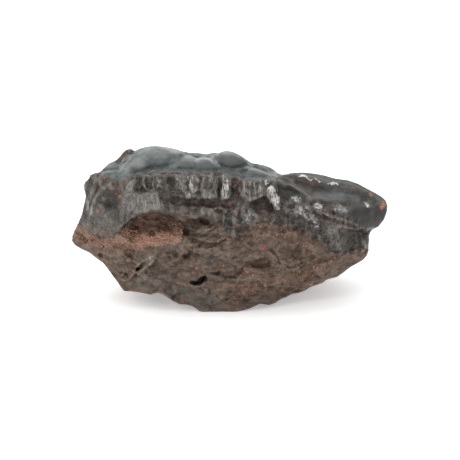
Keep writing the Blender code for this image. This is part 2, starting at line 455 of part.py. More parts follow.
def outer_corners(low, high, left, depths):
    """The outline's points between two heights and right of a line, a little outside it."""
    middle = np.array((0.0, 25.0))
    corners = []
    for point in OUTLINE:
        if low <= point[1] <= high and point[0] > left:
            out = np.array(point) - middle
            u, v = point + SPARE * out / np.linalg.norm(out)
            corners.append(seen(u, v, float(line_height(depths, u))))
    return corners


def hidden_domes():
    """The domes behind the ones that are seen, jittered, in the same terms."""
    spread = np.random.default_rng(7)
    skyline = [point for point in OUTLINE if point[1] > 35.0]
    domes = []
    for depth, first, last, count, half_width, drop in DOME_ROWS:
        for u in np.linspace(first, last, count):
            u, depth_here = np.array((u, depth)) + spread.uniform(-ROW_JITTER, ROW_JITTER, 2)
            half = half_width * spread.uniform(0.8, 1.1)
            crest = float(line_height(skyline, u)) - drop - spread.uniform(0.0, 1.0)
            domes.append((u, crest, depth_here, half, half, half * 0.9))
    return domes


def blocked_out():
    """The stone's blocks and domes as one mesh of overlapping shapes."""
    mesh = bmesh.new()
    foot = outer_corners(-1.0, BLOCK_TOP, -60.0, FOOT_DEPTH)
    foot = [corner for corner in foot if corner[0] < 44.6]
    add_hull(mesh, foot + [seen(*p) for p in BLOCK_SEEN] + BLOCK_HIDDEN)
    nose = outer_corners(NOSE_FOOT, 60.0, 18.0, NOSE_DEPTH)
    add_hull(mesh, nose + [seen(*p) for p in NOSE_SEEN] + NOSE_HIDDEN)
    for u, v, depth, along, up in LUMPS:
        add_ball(mesh, seen(u, v, depth), (along, along, up))
    for dome in DOMES + hidden_domes():
        add_dome(mesh, *dome)
    data = bpy.data.meshes.new("hematite")
    mesh.to_mesh(data)
    mesh.free()
    return data


def with_modifier(stone, kind, **settings):
    """Runs one modifier on the stone and keeps its result."""
    modifier = stone.modifiers.new(kind.title(), kind)
    for name, value in settings.items():
        setattr(modifier, name, value)
    graph = bpy.context.evaluated_depsgraph_get()
    made = bpy.data.meshes.new_from_object(stone.evaluated_get(graph))
    stone.modifiers.clear()
    stone.data = made


def fuse(stone, voxel, smoothing):
    """Makes the stone one closed surface of even faces."""
    with_modifier(stone, "REMESH", mode="VOXEL", voxel_size=voxel * MM)
    with_modifier(stone, "SMOOTH", factor=0.5, iterations=smoothing)


def read_surface(stone):
    """The stone's points in millimetres, and which way each faces."""
    count = len(stone.data.vertices)
    points, normals = np.empty(count * 3), np.empty(count * 3, np.float32)
    stone.data.vertices.foreach_get("co", points)
    stone.data.vertex_normals.foreach_get("vector", normals)
    return points.reshape(-1, 3) / MM, normals.reshape(-1, 3).astype(float)


def write_surface(stone, points):
    stone.data.vertices.foreach_set("co", (points * MM).ravel())
    stone.data.update()


def neighbour_mean(stone, values, rounds):
    """Each point's value averaged with those around it, round after round."""
    ends = np.empty(len(stone.data.edges) * 2, np.int32)
    stone.data.edges.foreach_get("vertices", ends)
    first, second = ends[0::2], ends[1::2]
    count = np.bincount(ends, minlength=len(values))
    for _ in range(rounds):
        total = np.empty_like(values)
        for axis, column in enumerate(values.T):
            total[:, axis] = np.bincount(first, column[second], len(values))
            total[:, axis] += np.bincount(second, column[first], len(values))
        values = 0.5 * values + 0.5 * total / count[:, None]
    return values


def soften_folds(stone):
    """Draws the domes together where they meet."""
    points, normals = read_surface(stone)
    soft = neighbour_mean(stone, points, FOLD_ROUNDS)
    write_surface(stone, points + skin_cover(points, normals)[:, None] * (soft - points))


def in_sight(points, normals):
    """1 where the stone faces the front and is no deeper than the first domes."""
    near = smooth_step(-points[:, 1], -SEEN_DEPTH - 2.0, -SEEN_DEPTH)
    return near * smooth_step(normals @ OUT_OF_FACE, -0.3, 0.05)


def skin_cover(points, normals):
    """1 on the botryoidal skin and 0 on broken stone."""
    u, v = face_place(points)
    over_rim = smooth_step(v - line_height(RIM, u), -0.2, 0.6)
    over_rim *= 1.0 - in_sight(points, normals) * smooth_step(depth_inside(KNOB, u, v), -0.4, 0.4)
    behind = smooth_step(-(normals @ OUT_OF_FACE), -0.1, 0.2) * smooth_step(normals[:, 2], 0.1, 0.4)
    return np.maximum(over_rim, behind * smooth_step(points[:, 2], SKIN_FOOT - 2.0, SKIN_FOOT + 2.0))


def break_cover(points, normals):
    """1 where the stone broke rough, less where it broke smooth and 0 on the skin."""
    u, v = face_place(points)
    cover = 1.0 - skin_cover(points, normals)
    front = smooth_step(normals @ OUT_OF_FACE, 0.0, 0.3)
    for loop, loss in SMOOTH:
        cover *= 1.0 - loss * front * smooth_step(depth_inside(loop, u, v), -0.6, 0.6)
    return cover


def sculpt(stone):
    """Breaks the front face and roughens the rest."""
    points, normals = read_surface(stone)
    u, v = face_place(points)
    facing = normals @ OUT_OF_FACE
    skin = skin_cover(points, normals)
    front = smooth_step(facing, 0.12, 0.42) * (1.0 - skin)
    cover = break_cover(points, normals)
    back = cover * (1.0 - smooth_step(facing, -0.2, 0.2))
    crust = smooth_step(v - line_height(CRUST_EDGE, u), -1.0, 1.0)
    broken = crust * flakes(points, CRUST_FLAKES[0], 3) * CRUST_FLAKES[1]
    broken += (1.0 - crust) * flakes(points, ROCK_FLAKES[0], 4) * ROCK_FLAKES[1]
    broken += back * flakes(points, BACK_FLAKES[0], 6) * BACK_FLAKES[1]
    broken += back * fractal(points, BACK_SWELLS[0], 3) * BACK_SWELLS[1]
    broken += fractal(points, SWELLS[0], 2) * SWELLS[1]
    folded = skin * in_sight(points, normals) * fold_depth(u, v)
    points += (front * face_relief(u, v))[:, None] * OUT_OF_FACE
    write_surface(stone, points + (cover * broken - folded)[:, None] * normals)


def roughen(stone):
    """The fine break of everything but the domes."""
    points, normals = read_surface(stone)
    rough = fractal(points, ROUGHNESS[0], 3) * ROUGHNESS[1]
    rough += flakes(points, FINE_FLAKES[0], 5) * FINE_FLAKES[1]
    write_surface(stone, points + (rough * break_cover(points, normals))[:, None] * normals)


def trim(stone, beyond):
    """Draws in whatever passes the outline by more than beyond, as the face is seen."""
    points, _ = read_surface(stone)
    u, v = face_place(points)
    inside = depth_inside(OUTLINE, u, v) + beyond
    near = inside < OUTLINE_ROUNDING
    u, v, inside = u[near], v[near], inside[near]
    step = 0.05
    right = (depth_inside(OUTLINE, u + step, v) - depth_inside(OUTLINE, u - step, v)) / (2.0 * step)
    up = (depth_inside(OUTLINE, u, v + step) - depth_inside(OUTLINE, u, v - step)) / (2.0 * step)
    move = OUTLINE_ROUNDING * np.exp(inside / OUTLINE_ROUNDING - 1.0) - inside
    points[near, 0] += move * right
    points[near] += (move * up)[:, None] * UP_FACE
    write_surface(stone, points)


def settle(stone):
    """Centres the stone over the origin, on flat feet at z 0."""
    points, _ = read_surface(stone)
    points -= MIDDLE
    points[:, 2] = np.maximum(points[:, 2], 0.0)
    write_surface(stone, points)


def ore_material():
    material = bpy.data.materials.new("iron_ore")
    material.use_nodes = True
    shader = material.node_tree.nodes["Principled BSDF"]
    shader.inputs["Base Color"].default_value = ORE_COLOUR
    shader.inputs["Roughness"].default_value = 0.55
    shader.inputs["Metallic"].default_value = 0.25
    return material


def main():
    for item in list(bpy.data.objects):
        bpy.data.objects.remove(item)
    stone = bpy.data.objects.new("hematite", blocked_out())
    collection = bpy.data.collections.new("hematite_specimen")
    bpy.context.scene.collection.children.link(collection)
    collection.objects.link(stone)
    fuse(stone, FUSE_VOXEL, 2)
    soften_folds(stone)
    sculpt(stone)
    trim(stone, FIRST_BEYOND)
    fuse(stone, FINE_VOXEL, 1)
    roughen(stone)
    trim(stone, LAST_BEYOND)
    faces = sum(len(face.vertices) - 2 for face in stone.data.polygons)
    with_modifier(stone, "DECIMATE", ratio=min(1.0, MOST_TRIANGLES / faces))
    settle(stone)
    stone.data.materials.append(ore_material())
    stone.data.shade_smooth()
    stone.data.set_sharp_from_angle(angle=math.radians(40.0))


main()
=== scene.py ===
"""The looks of a hematite specimen: its stone again in full detail, with its finish and its grains.

The stone is laid out as the solid is. A grey botryoidal skin of rounded domes covers the top. Below it the
front is broken: a black fibrous crust, then a brown, hollowed and pitted iron ore matrix.

The broken face is laid out as it is seen, on a plane that leans back by FACE_LEAN: u runs to the right
along it and v runs up it, both in millimetres, from the foot of the stone. A point there is (u, v, depth),
with depth measured level, from the foot into the stone. Relief on the face is moved along its line of
sight, so a feature keeps its u and v.
"""

import math

import bmesh
import bpy
import numpy as np
from mathutils import Matrix, Vector, kdtree, noise


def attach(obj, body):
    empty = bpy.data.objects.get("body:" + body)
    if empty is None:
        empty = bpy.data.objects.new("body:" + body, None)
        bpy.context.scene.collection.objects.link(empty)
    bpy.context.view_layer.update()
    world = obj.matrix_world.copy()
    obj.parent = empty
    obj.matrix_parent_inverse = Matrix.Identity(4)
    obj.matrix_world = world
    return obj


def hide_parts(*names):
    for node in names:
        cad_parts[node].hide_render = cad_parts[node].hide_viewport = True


MM = 0.001
FACE_LEAN = math.radians(18.0)
LEAN_COS = math.cos(FACE_LEAN)
LEAN_SIN = math.sin(FACE_LEAN)
OUT_OF_FACE = np.array((0.0, -LEAN_COS, LEAN_SIN))
UP_FACE = np.array((0.0, LEAN_SIN, LEAN_COS))

# The stone's fineness: the voxels that it is fused with, and the most triangles that are kept
FUSE_VOXEL = 0.6
FINE_VOXEL = 0.37
MOST_TRIANGLES = 196000

# Where the middle of the stone's box lies in the layout, from its foot
MIDDLE = np.array((-0.06, 20.25, 0.35))

# The stone's outline, as its face is seen, from the left tip over the top and back along the foot
OUTLINE = [
    (-49.9, 22.9), (-49.8, 24.4), (-48.4, 27.2), (-46.8, 30.9), (-46.1, 33.9), (-45.4, 37.0),
    (-46.1, 40.2), (-45.6, 41.4), (-44.4, 42.1), (-44.1, 43.4), (-42.9, 44.1), (-41.0, 44.3),
    (-39.9, 45.6), (-38.0, 47.3), (-35.8, 48.4), (-34.5, 49.9), (-32.9, 51.5), (-31.6, 52.0),
    (-30.2, 51.7), (-29.1, 52.2), (-27.2, 52.7), (-24.7, 52.9), (-22.2, 52.7), (-19.7, 52.3),
    (-17.2, 51.7), (-14.7, 50.9), (-12.4, 50.9), (-9.9, 50.5), (-7.7, 50.1), (-5.7, 50.5), (-3.8, 51.0),
    (-1.6, 51.3), (0.6, 50.9), (2.8, 49.9), (5.1, 48.4), (7.0, 47.2), (9.2, 47.0), (11.1, 46.5),
    (13.0, 45.7), (14.6, 44.6), (16.1, 43.8), (17.7, 43.6), (19.3, 44.1), (23.1, 44.2), (26.4, 43.9),
    (29.7, 43.3), (33.2, 42.3), (37.3, 41.8), (40.5, 40.7), (42.7, 39.5), (46.2, 37.7), (48.2, 36.5),
    (49.3, 35.4), (49.8, 33.9), (49.6, 32.1), (48.7, 29.6), (47.0, 27.5), (45.6, 26.8), (44.6, 26.0),
    (43.9, 24.3), (44.1, 23.1), (43.7, 21.7), (43.9, 19.8), (43.4, 18.4), (42.2, 17.0), (40.2, 15.8),
    (38.3, 14.8), (35.8, 12.9), (33.9, 11.6), (30.6, 10.8), (29.3, 9.7), (25.4, 8.4), (23.4, 7.1),
    (21.5, 6.5), (19.6, 6.3), (17.6, 5.1), (16.3, 4.8), (14.4, 3.4), (12.4, 2.7), (9.5, 3.2), (6.3, 1.7),
    (3.2, 0.8), (-1.1, 0.3), (-3.8, 0.4), (-5.7, 0.0), (-7.8, 0.1), (-9.6, 0.8), (-11.4, 2.2),
    (-13.3, 2.9), (-16.0, 3.0), (-18.1, 4.1), (-19.9, 5.3), (-21.8, 6.5), (-23.6, 6.7), (-25.1, 6.0),
    (-27.3, 6.5), (-29.7, 6.9), (-33.4, 7.2), (-34.2, 8.0), (-35.2, 9.6), (-37.0, 12.0), (-38.5, 14.1),
    (-40.0, 16.0), (-42.2, 17.5), (-44.3, 19.2), (-47.5, 20.7), (-49.1, 21.7),
]
OUTLINE_ROUNDING = 0.4
# How far the stone passes the outline before its edges are smoothed, at first and at last
FIRST_BEYOND = 1.0
LAST_BEYOND = 0.3

# How far back the outline lies, as (u, depth): the block's foot and sides, and the nose
FOOT_DEPTH = [
    (-50.0, 14.0), (-42.0, 9.0), (-34.0, 6.0), (-20.0, 3.0), (-8.0, 0.0), (3.0, 1.0), (12.0, 5.0),
    (22.0, 8.0), (34.0, 10.5), (44.0, 15.0),
]
NOSE_DEPTH = [(16.0, 6.0), (24.0, 7.5), (31.0, 9.0), (38.0, 11.5), (44.0, 14.5), (50.0, 18.0)]
BLOCK_TOP = 30.0
NOSE_FOOT = 26.5
SPARE = 1.9

# The main block's other corners. Seen corners are (u, v, depth) and hidden ones (x, y, z).
BLOCK_SEEN = [
    (-34.8, 21.5, 1.0), (-15.0, 19.5, -4.0), (-4.7, 19.5, -5.0), (10.0, 19.0, -4.5), (23.0, 19.0, -1.5),
    (34.8, 19.3, 4.0), (-46.4, 34.2, 13.0), (-46.0, 41.0, 13.0), (-41.1, 43.8, 8.0), (-33.0, 42.6, -1.0),
    (-20.6, 44.0, -3.5), (-4.7, 43.8, -4.0), (6.3, 42.0, -3.5), (16.0, 42.0, -1.0), (30.0, 36.0, 0.0),
    (44.4, 25.5, 16.0),
]
BLOCK_HIDDEN = [
    (-24.0, 27.0, 0.1), (-12.0, 35.0, 0.1), (13.0, 36.0, 0.1), (25.0, 28.0, 0.1), (-40.0, 29.0, 11.0),
    (37.0, 30.0, 10.0), (-46.0, 26.0, 24.0), (-27.0, 41.0, 18.0), (6.0, 45.5, 17.0), (31.0, 39.0, 19.0),
    (43.0, 27.0, 22.0), (-36.0, 33.0, 28.0), (-14.0, 40.0, 28.0), (16.0, 40.0, 26.0), (33.0, 31.0, 24.0),
]

# The nose, the dark block that overhangs the right end
NOSE_SEEN = [
    (21.0, 36.6, -2.0), (27.0, 36.1, -2.0), (33.0, 35.4, -0.5), (38.0, 33.0, 4.0), (43.5, 32.0, 10.0),
    (22.0, 31.6, -2.5), (28.5, 28.8, 0.0), (34.8, 26.9, 3.0), (39.9, 26.3, 7.0), (12.0, 42.6, 1.0),
]
NOSE_HIDDEN = [(22.0, 30.0, 30.0), (37.0, 28.0, 26.0), (44.0, 25.0, 24.0), (30.0, 28.0, 20.0)]

# Small lumps that fill out the outline: (u, v, depth, radius along, radius up)
LUMPS = [
    (-43.8, 41.4, 12.0, 2.4, 2.6), (-40.9, 42.8, 10.0, 2.6, 1.9), (-45.2, 39.0, 13.5, 1.4, 2.4),
    (-32.2, 49.4, 19.0, 2.7, 2.9), (-35.0, 47.2, 18.0, 2.0, 2.6), (42.2, 21.6, 14.0, 2.2, 3.4),
    (-26.4, 8.4, 4.6, 3.4, 2.0), (-47.4, 25.2, 14.0, 2.3, 2.6), (10.2, 5.2, 5.0, 4.4, 2.0),
]

# The domes that show over the broken face, each placed by its crest:
# (u, crest v, depth, half width, half depth, half height)
DOMES = [
    (-22.5, 53.1, 13.0, 14.5, 13.6, 9.4), (-31.4, 47.6, 4.6, 5.0, 7.6, 5.2),
    (-30.6, 50.4, 10.0, 5.0, 7.0, 5.6), (-37.4, 48.2, 14.0, 4.2, 5.6, 4.6),
    (-40.0, 46.2, 12.5, 3.2, 4.5, 3.4), (-37.8, 45.8, 7.0, 3.9, 4.5, 3.8),
    (-35.0, 43.8, 3.0, 3.7, 3.6, 3.2), (-28.6, 45.0, 0.6, 4.6, 3.4, 3.0), (-13.9, 49.6, 5.6, 8.0, 8.5, 5.0),
    (-7.8, 49.1, 4.2, 6.6, 7.6, 4.6), (-28.2, 48.9, 5.2, 4.6, 7.4, 5.2), (-21.0, 45.6, 1.2, 8.4, 4.2, 2.8),
    (-10.5, 51.0, 17.0, 9.0, 7.0, 5.6),
    (-0.2, 51.5, 9.6, 7.6, 9.0, 7.4), (5.4, 48.6, 13.0, 5.6, 8.4, 5.8), (-1.4, 45.3, 1.0, 6.6, 4.4, 3.2),
    (10.2, 47.2, 13.6, 5.8, 8.0, 5.8), (6.4, 45.8, 5.0, 7.4, 7.2, 5.0), (13.8, 44.6, 8.5, 5.2, 7.0, 4.6),
    (-10.4, 45.1, 0.0, 8.6, 3.2, 2.8), (18.6, 43.7, 12.0, 5.2, 7.0, 4.6), (-5.2, 51.0, 15.0, 5.4, 6.0, 5.0),
]
# How often the domes are drawn together where they meet
FOLD_ROUNDS = 3
# The folds between the domes, as they are seen: the path, half width and depth
FOLDS = [
    ([(-29.6, 51.1), (-31.2, 49.0), (-32.7, 46.6), (-34.4, 44.3)], 1.3, 0.4),
    ([(-14.6, 50.2), (-16.2, 48.7), (-18.3, 47.2), (-21.4, 46.2), (-25.6, 45.8), (-29.0, 45.0),
      (-30.2, 43.9)], 0.8, 0.4),
    ([(-10.7, 48.8), (-11.0, 47.4), (-11.5, 45.7)], 0.8, 0.35),
    ([(-16.0, 45.6), (-11.4, 45.4), (-7.0, 45.2), (-3.0, 45.3)], 0.9, 0.35),
    ([(-4.9, 49.4), (-4.5, 48.2), (-3.4, 47.0), (-1.8, 46.2), (1.8, 46.0), (4.8, 46.6), (6.9, 47.5)],
     1.0, 0.6),
    ([(7.4, 46.6), (9.0, 46.1), (13.2, 44.7)], 0.9, 0.45),
    ([(5.2, 44.7), (7.6, 44.2), (10.5, 43.0)], 0.8, 0.25),
    ([(-40.0, 45.1), (-37.7, 45.7), (-35.0, 45.1)], 0.8, 0.5),
    ([(-36.4, 48.2), (-34.4, 47.4), (-32.4, 48.8), (-30.2, 51.6)], 0.8, 0.6),
    ([(-38.5, 43.6), (-36.8, 44.2), (-35.0, 44.5)], 0.7, 0.4),
]
# The domes behind them: rows of (depth, first u, last u, count, half width, drop below the skyline)
DOME_ROWS = [
    (21.5, -36.0, 40.0, 8, 7.6, 0.9), (27.5, -37.0, 34.0, 7, 8.6, 2.4), (32.5, -34.0, 34.0, 7, 8.2, 5.0),
    (36.0, -30.0, 30.0, 6, 7.6, 9.0), (39.0, -24.0, 24.0, 5, 7.0, 14.5),
]
ROW_JITTER = 2.2

# The skin's lower edge on the face
RIM = [
    (-50.0, 46.5), (-40.8, 44.6), (-38.6, 43.4), (-35.8, 41.8), (-33.5, 42.4), (-30.1, 43.4),
    (-29.1, 44.1), (-26.3, 43.7), (-24.4, 44.8), (-20.9, 44.4), (-13.3, 44.3), (-10.1, 43.9),
    (-6.0, 44.4), (-2.5, 44.3), (0.0, 43.7), (2.2, 43.2), (4.4, 42.6), (7.0, 42.1), (12.0, 41.9),
    (13.9, 42.6), (16.5, 43.4), (19.0, 44.0), (23.1, 43.5), (26.3, 43.2), (29.7, 42.5), (33.2, 41.5),
    (37.3, 40.9), (40.5, 39.9), (42.7, 38.7), (46.2, 36.9), (50.6, 33.9),
]

# How far down the skin reaches behind
SKIN_FOOT = 24.0
# The depth at which the first domes end, and nothing behind them is seen
SEEN_DEPTH = 20.0
# The bare knob at the skin's left shoulder
KNOB = [
    (-37.2, 48.8), (-34.8, 51.4), (-32.6, 53.4), (-30.4, 53.2), (-30.3, 51.5), (-32.4, 49.0), (-34.4, 47.6),
]

# The crust's lower edge on the face, how proud it stands and how soft the step is
CRUST_EDGE = [
    (-50.0, 25.6), (-47.5, 25.6), (-42.7, 24.4), (-38.0, 23.7), (-34.8, 25.9), (-32.9, 28.2),
    (-30.4, 30.1), (-27.5, 31.0), (-25.9, 31.6), (-22.0, 31.6), (-19.3, 31.0), (-16.8, 30.2),
    (-12.7, 30.4), (-7.9, 30.7), (-4.7, 29.7), (-2.5, 28.8), (-0.3, 25.6), (1.3, 23.7), (2.8, 25.6),
    (4.1, 28.2), (7.0, 28.8), (10.1, 29.7), (15.8, 28.5), (22.2, 26.6), (27.8, 23.4), (31.6, 19.9),
    (36.4, 18.7), (41.1, 19.6), (44.0, 17.7),
]
CRUST_PROUD = 1.0
CRUST_SOFT = 1.0

# Slabs of the crust, each broken off flat: its outline, how proud it stands at its middle, and its
# slope across and upward
SLAB_EDGE = 0.5
SLABS = [
    ([(-32.9, 38.0), (-28.0, 38.3), (-22.5, 38.8), (-21.7, 35.3), (-22.0, 32.8), (-26.1, 32.0),
      (-31.8, 32.6), (-33.1, 35.3)], 0.9, 0.03, -0.03),
    ([(-29.7, 41.8), (-27.7, 42.9), (-22.2, 43.4), (-22.0, 39.1), (-24.7, 38.9), (-28.0, 38.3),
      (-30.1, 38.9)], -0.5, 0.0, 0.06),
    ([(-32.6, 41.1), (-30.1, 41.8), (-30.1, 38.8), (-32.6, 38.3)], 0.5, 0.0, -0.05),
    ([(-21.7, 43.4), (-17.4, 43.5), (-17.4, 40.0), (-15.5, 36.1), (-21.2, 37.0)], -0.2, -0.06, -0.04),
    ([(-16.6, 43.7), (-10.3, 43.5), (-9.8, 41.6), (-10.3, 39.2), (-11.1, 37.1), (-13.4, 36.1),
      (-15.0, 38.9), (-17.2, 40.0)], 1.2, 0.02, -0.12),
    ([(-8.9, 43.2), (-7.7, 43.4), (-3.5, 44.0), (-3.8, 38.1), (-4.2, 36.3), (-8.7, 36.1),
      (-9.3, 39.2)], 0.7, -0.06, -0.05),
    ([(-2.4, 44.0), (-0.5, 42.9), (0.3, 40.8), (0.0, 36.1), (-2.7, 36.1), (-2.8, 38.1),
      (-2.4, 40.8)], 1.2, 0.14, -0.16),
    ([(0.5, 42.7), (3.2, 42.1), (3.3, 37.7), (2.2, 34.8), (0.3, 35.4)], -0.5, 0.05, 0.0),
    ([(3.7, 41.8), (9.7, 41.8), (11.1, 39.2), (10.8, 37.1), (8.4, 35.9), (4.7, 35.0), (3.4, 37.7)],
     0.8, 0.03, -0.03),
    ([(11.3, 39.2), (13.1, 40.5), (15.5, 36.8), (15.9, 35.2), (15.0, 32.9), (13.2, 35.2)], 1.3, 0.1, -0.28),
    ([(-20.9, 33.9), (-15.2, 33.9), (-10.1, 33.5), (-4.7, 33.5), (-0.6, 32.9), (-1.3, 31.3),
      (-5.1, 30.5), (-12.7, 30.5), (-18.4, 31.2)], 0.5, 0.0, -0.15),
    ([(4.1, 33.2), (7.0, 33.2), (8.5, 31.3), (8.2, 28.8), (4.4, 28.8)], 0.7, -0.03, -0.1),
    ([(15.3, 40.6), (19.1, 40.3), (21.8, 38.4), (24.8, 36.2), (22.8, 36.7), (16.4, 36.5),
      (15.0, 38.7)], -0.4, 0.05, -0.2),
    ([(16.6, 35.9), (22.9, 36.8), (25.3, 34.9), (25.6, 32.2), (28.1, 27.8), (26.4, 28.4),
      (21.0, 31.1), (16.9, 32.2)], 0.7, 0.0, -0.12),
    ([(26.2, 34.9), (29.1, 34.2), (28.8, 32.4), (26.4, 32.9)], 0.7, 0.05, -0.25),
    ([(32.9, 34.6), (36.2, 33.9), (36.4, 31.6), (33.5, 32.3)], 0.5, 0.1, -0.2),
    ([(29.7, 29.1), (33.5, 29.4), (36.2, 27.5), (36.4, 23.1), (34.2, 20.7), (30.7, 23.1)], 0.7, 0.0, -0.14),
]

# Dished hollows: the outline, the depth and how far in from the outline the full depth is reached
HOLLOWS = [
    ([(21.5, 43.3), (24.8, 42.6), (27.8, 42.0), (30.3, 41.0), (34.1, 40.4), (36.8, 39.9), (39.5, 38.9),
      (41.6, 37.4), (40.8, 36.2), (36.2, 36.2), (31.9, 36.2), (27.0, 36.5), (25.3, 36.8), (21.8, 38.9),
      (19.3, 40.6), (19.4, 42.3)], 2.3, 3.0),
    ([(15.4, 40.4), (19.0, 40.6), (22.4, 38.4), (25.0, 36.7), (21.0, 37.2), (16.4, 38.0)], 0.7, 1.2),
    ([(36.4, 34.9), (40.6, 34.8), (44.6, 33.0), (44.0, 30.4), (38.0, 31.0)], 0.6, 2.4),
    ([(-39.7, 38.8), (-35.6, 40.7), (-33.1, 38.5), (-34.0, 34.2), (-35.6, 32.6), (-39.7, 30.9),
      (-41.0, 34.7)], 1.9, 3.0),
    ([(17.8, 20.6), (21.0, 21.8), (23.8, 20.6), (23.6, 17.8), (20.6, 16.8), (17.6, 18.0)], 0.9, 2.2),
    ([(5.6, 16.4), (9.6, 18.6), (13.2, 17.6), (13.0, 14.6), (9.6, 13.6), (6.2, 14.2)], 1.7, 1.4),
    ([(-14.8, 28.9), (-13.4, 28.2), (-12.4, 25.8), (-12.8, 24.4), (-14.9, 24.6)], 1.9, 0.9),
    ([(-20.2, 19.6), (-16.2, 19.9), (-15.4, 17.6), (-17.8, 16.4), (-20.4, 17.2)], 0.8, 1.2),
]

# Alcoves with an overhanging roof and a floor that slopes out: roof and floor, depth, the share of the
# height that the floor takes, the height at which the full depth is reached, and how far from the left end
ALCOVES = [
    ([(-35.4, 25.3), (-34.5, 26.4), (-32.9, 28.2), (-30.4, 30.1), (-27.5, 31.0), (-25.9, 31.6),
      (-22.0, 31.6), (-19.3, 31.0), (-16.8, 30.1), (-14.6, 29.0)],
     [(-35.4, 24.2), (-32.9, 23.1), (-30.4, 21.8), (-27.5, 21.8), (-24.7, 22.2), (-20.6, 22.0),
      (-16.5, 22.8), (-14.6, 24.1)], 6.2, 0.66, 8.0, 6.0),
    ([(-15.0, 28.9), (-12.7, 30.2), (-9.5, 30.2), (-7.0, 29.4), (-4.4, 27.5)],
     [(-15.0, 24.4), (-12.7, 24.2), (-10.1, 25.2), (-7.3, 26.6), (-4.4, 27.2)], 2.5, 0.76, 3.4, 1.2),
    ([(-12.7, 23.9), (-9.5, 25.3), (-5.7, 25.9), (-1.9, 24.4)],
     [(-12.7, 23.4), (-10.4, 22.3), (-8.2, 21.6), (-5.7, 21.5), (-3.2, 22.4), (-1.3, 23.4)],
     1.4, 0.85, 2.0, 1.6),
    ([(5.1, 34.5), (6.0, 35.2), (8.5, 35.9), (10.8, 37.1), (12.1, 35.5), (13.7, 33.2), (15.2, 31.0)],
     [(5.1, 33.8), (7.1, 32.6), (8.2, 30.8), (10.1, 29.6), (12.0, 29.4), (13.7, 29.8), (15.2, 30.6)],
     2.6, 0.9, 5.0, 2.4),
]

# Lumps of the matrix: (u, v, half width, half height, turn in degrees, height)
SWELLINGS = [
    (8.6, 11.2, 6.4, 2.9, 14.0, 1.5), (-26.0, 17.4, 7.0, 3.2, 38.0, 1.0), (-10.6, 15.6, 5.0, 2.6, 20.0, 1.0),
    (-0.4, 18.4, 6.4, 3.6, 0.0, 1.3), (-23.0, 10.6, 6.4, 2.8, -6.0, 1.1), (26.6, 13.2, 7.0, 2.2, 24.0, 1.0),
    (-3.6, 8.2, 6.0, 2.6, 6.0, 0.9), (15.6, 10.4, 4.6, 2.4, 20.0, 0.9), (-37.6, 18.6, 5.0, 2.6, -38.0, 0.8),
    (10.6, 24.4, 7.0, 3.0, -6.0, 1.0), (26.6, 20.2, 3.0, 2.4, -30.0, 0.8), (-19.6, 14.8, 3.6, 1.8, 10.0, 0.6),
    (-8.0, 24.0, 3.4, 1.6, 8.0, 0.8), (20.6, 24.2, 4.2, 1.6, -14.0, 0.7), (35.0, 16.4, 3.6, 1.8, 32.0, 0.6),
]

# Pits with steep walls, in the same terms, by depth
PITS = [
    (-11.0, 9.9, 1.7, 0.9, 4.0, 3.4), (-9.4, 10.3, 1.9, 1.2, 24.0, 3.6), (-8.2, 11.2, 1.2, 1.0, 50.0, 3.4),
    (-13.9, 17.9, 1.6, 1.3, 0.0, 1.5), (-28.4, 14.7, 2.3, 1.0, 40.0, 2.5), (-33.0, 12.0, 0.9, 1.2, 0.0, 1.4),
    (-40.3, 18.7, 1.2, 0.8, -20.0, 1.4), (-6.6, 6.6, 0.8, 1.2, 10.0, 1.0), (-0.9, 4.4, 0.8, 0.7, 0.0, 1.0),
    (-24.6, 25.4, 1.6, 1.0, 0.0, 1.2), (-36.4, 17.4, 1.0, 0.8, 0.0, 0.8),
]

# Cracks: the path, half width and depth
CRACKS = [
    ([(-21.2, 36.9), (-18.4, 36.0), (-15.2, 35.3), (-10.1, 34.8), (-7.0, 34.8), (-3.2, 34.8),
      (1.4, 33.9)], 1.8, 1.3),
    ([(-28.0, 38.1), (-24.7, 38.8), (-22.0, 39.0)], 0.6, 0.8),
    ([(-4.2, 32.6), (-1.0, 31.3)], 0.7, 1.2),
    ([(-3.1, 44.0), (-3.2, 38.0), (-3.4, 35.6)], 0.4, 0.8),
    ([(-11.7, 22.7), (-8.7, 21.8), (-6.6, 21.3), (-3.2, 22.4), (-1.4, 23.3)], 0.8, 1.2),
    ([(-6.3, 13.0), (-3.5, 12.7), (-1.3, 11.6), (1.7, 11.1)], 0.9, 1.5),
    ([(1.7, 11.1), (3.0, 12.6), (4.3, 14.9), (6.6, 15.8)], 0.7, 0.7),
    ([(13.1, 19.9), (14.7, 18.4), (15.3, 16.5)], 0.8, 1.4),
    ([(15.3, 16.5), (16.3, 15.5), (18.9, 14.4), (20.9, 15.2), (22.8, 15.8)], 0.8, 0.9),
    ([(12.7, 7.9), (14.4, 7.7), (17.6, 7.1), (20.2, 7.7)], 0.7, 1.1),
    ([(-33.0, 9.4), (-31.2, 10.4), (-29.0, 12.0), (-26.6, 12.9), (-24.4, 14.9), (-22.6, 18.0)], 0.7, 0.7),
    ([(26.0, 31.6), (29.1, 30.9), (33.2, 29.5), (36.2, 28.4), (39.5, 27.3)], 0.8, 1.1),
    ([(-14.6, 30.2), (-14.4, 26.0), (-15.0, 23.4)], 0.6, 1.2),
    ([(31.0, 20.6), (33.6, 19.4), (37.4, 19.4), (40.0, 20.8)], 0.8, 0.9),
]

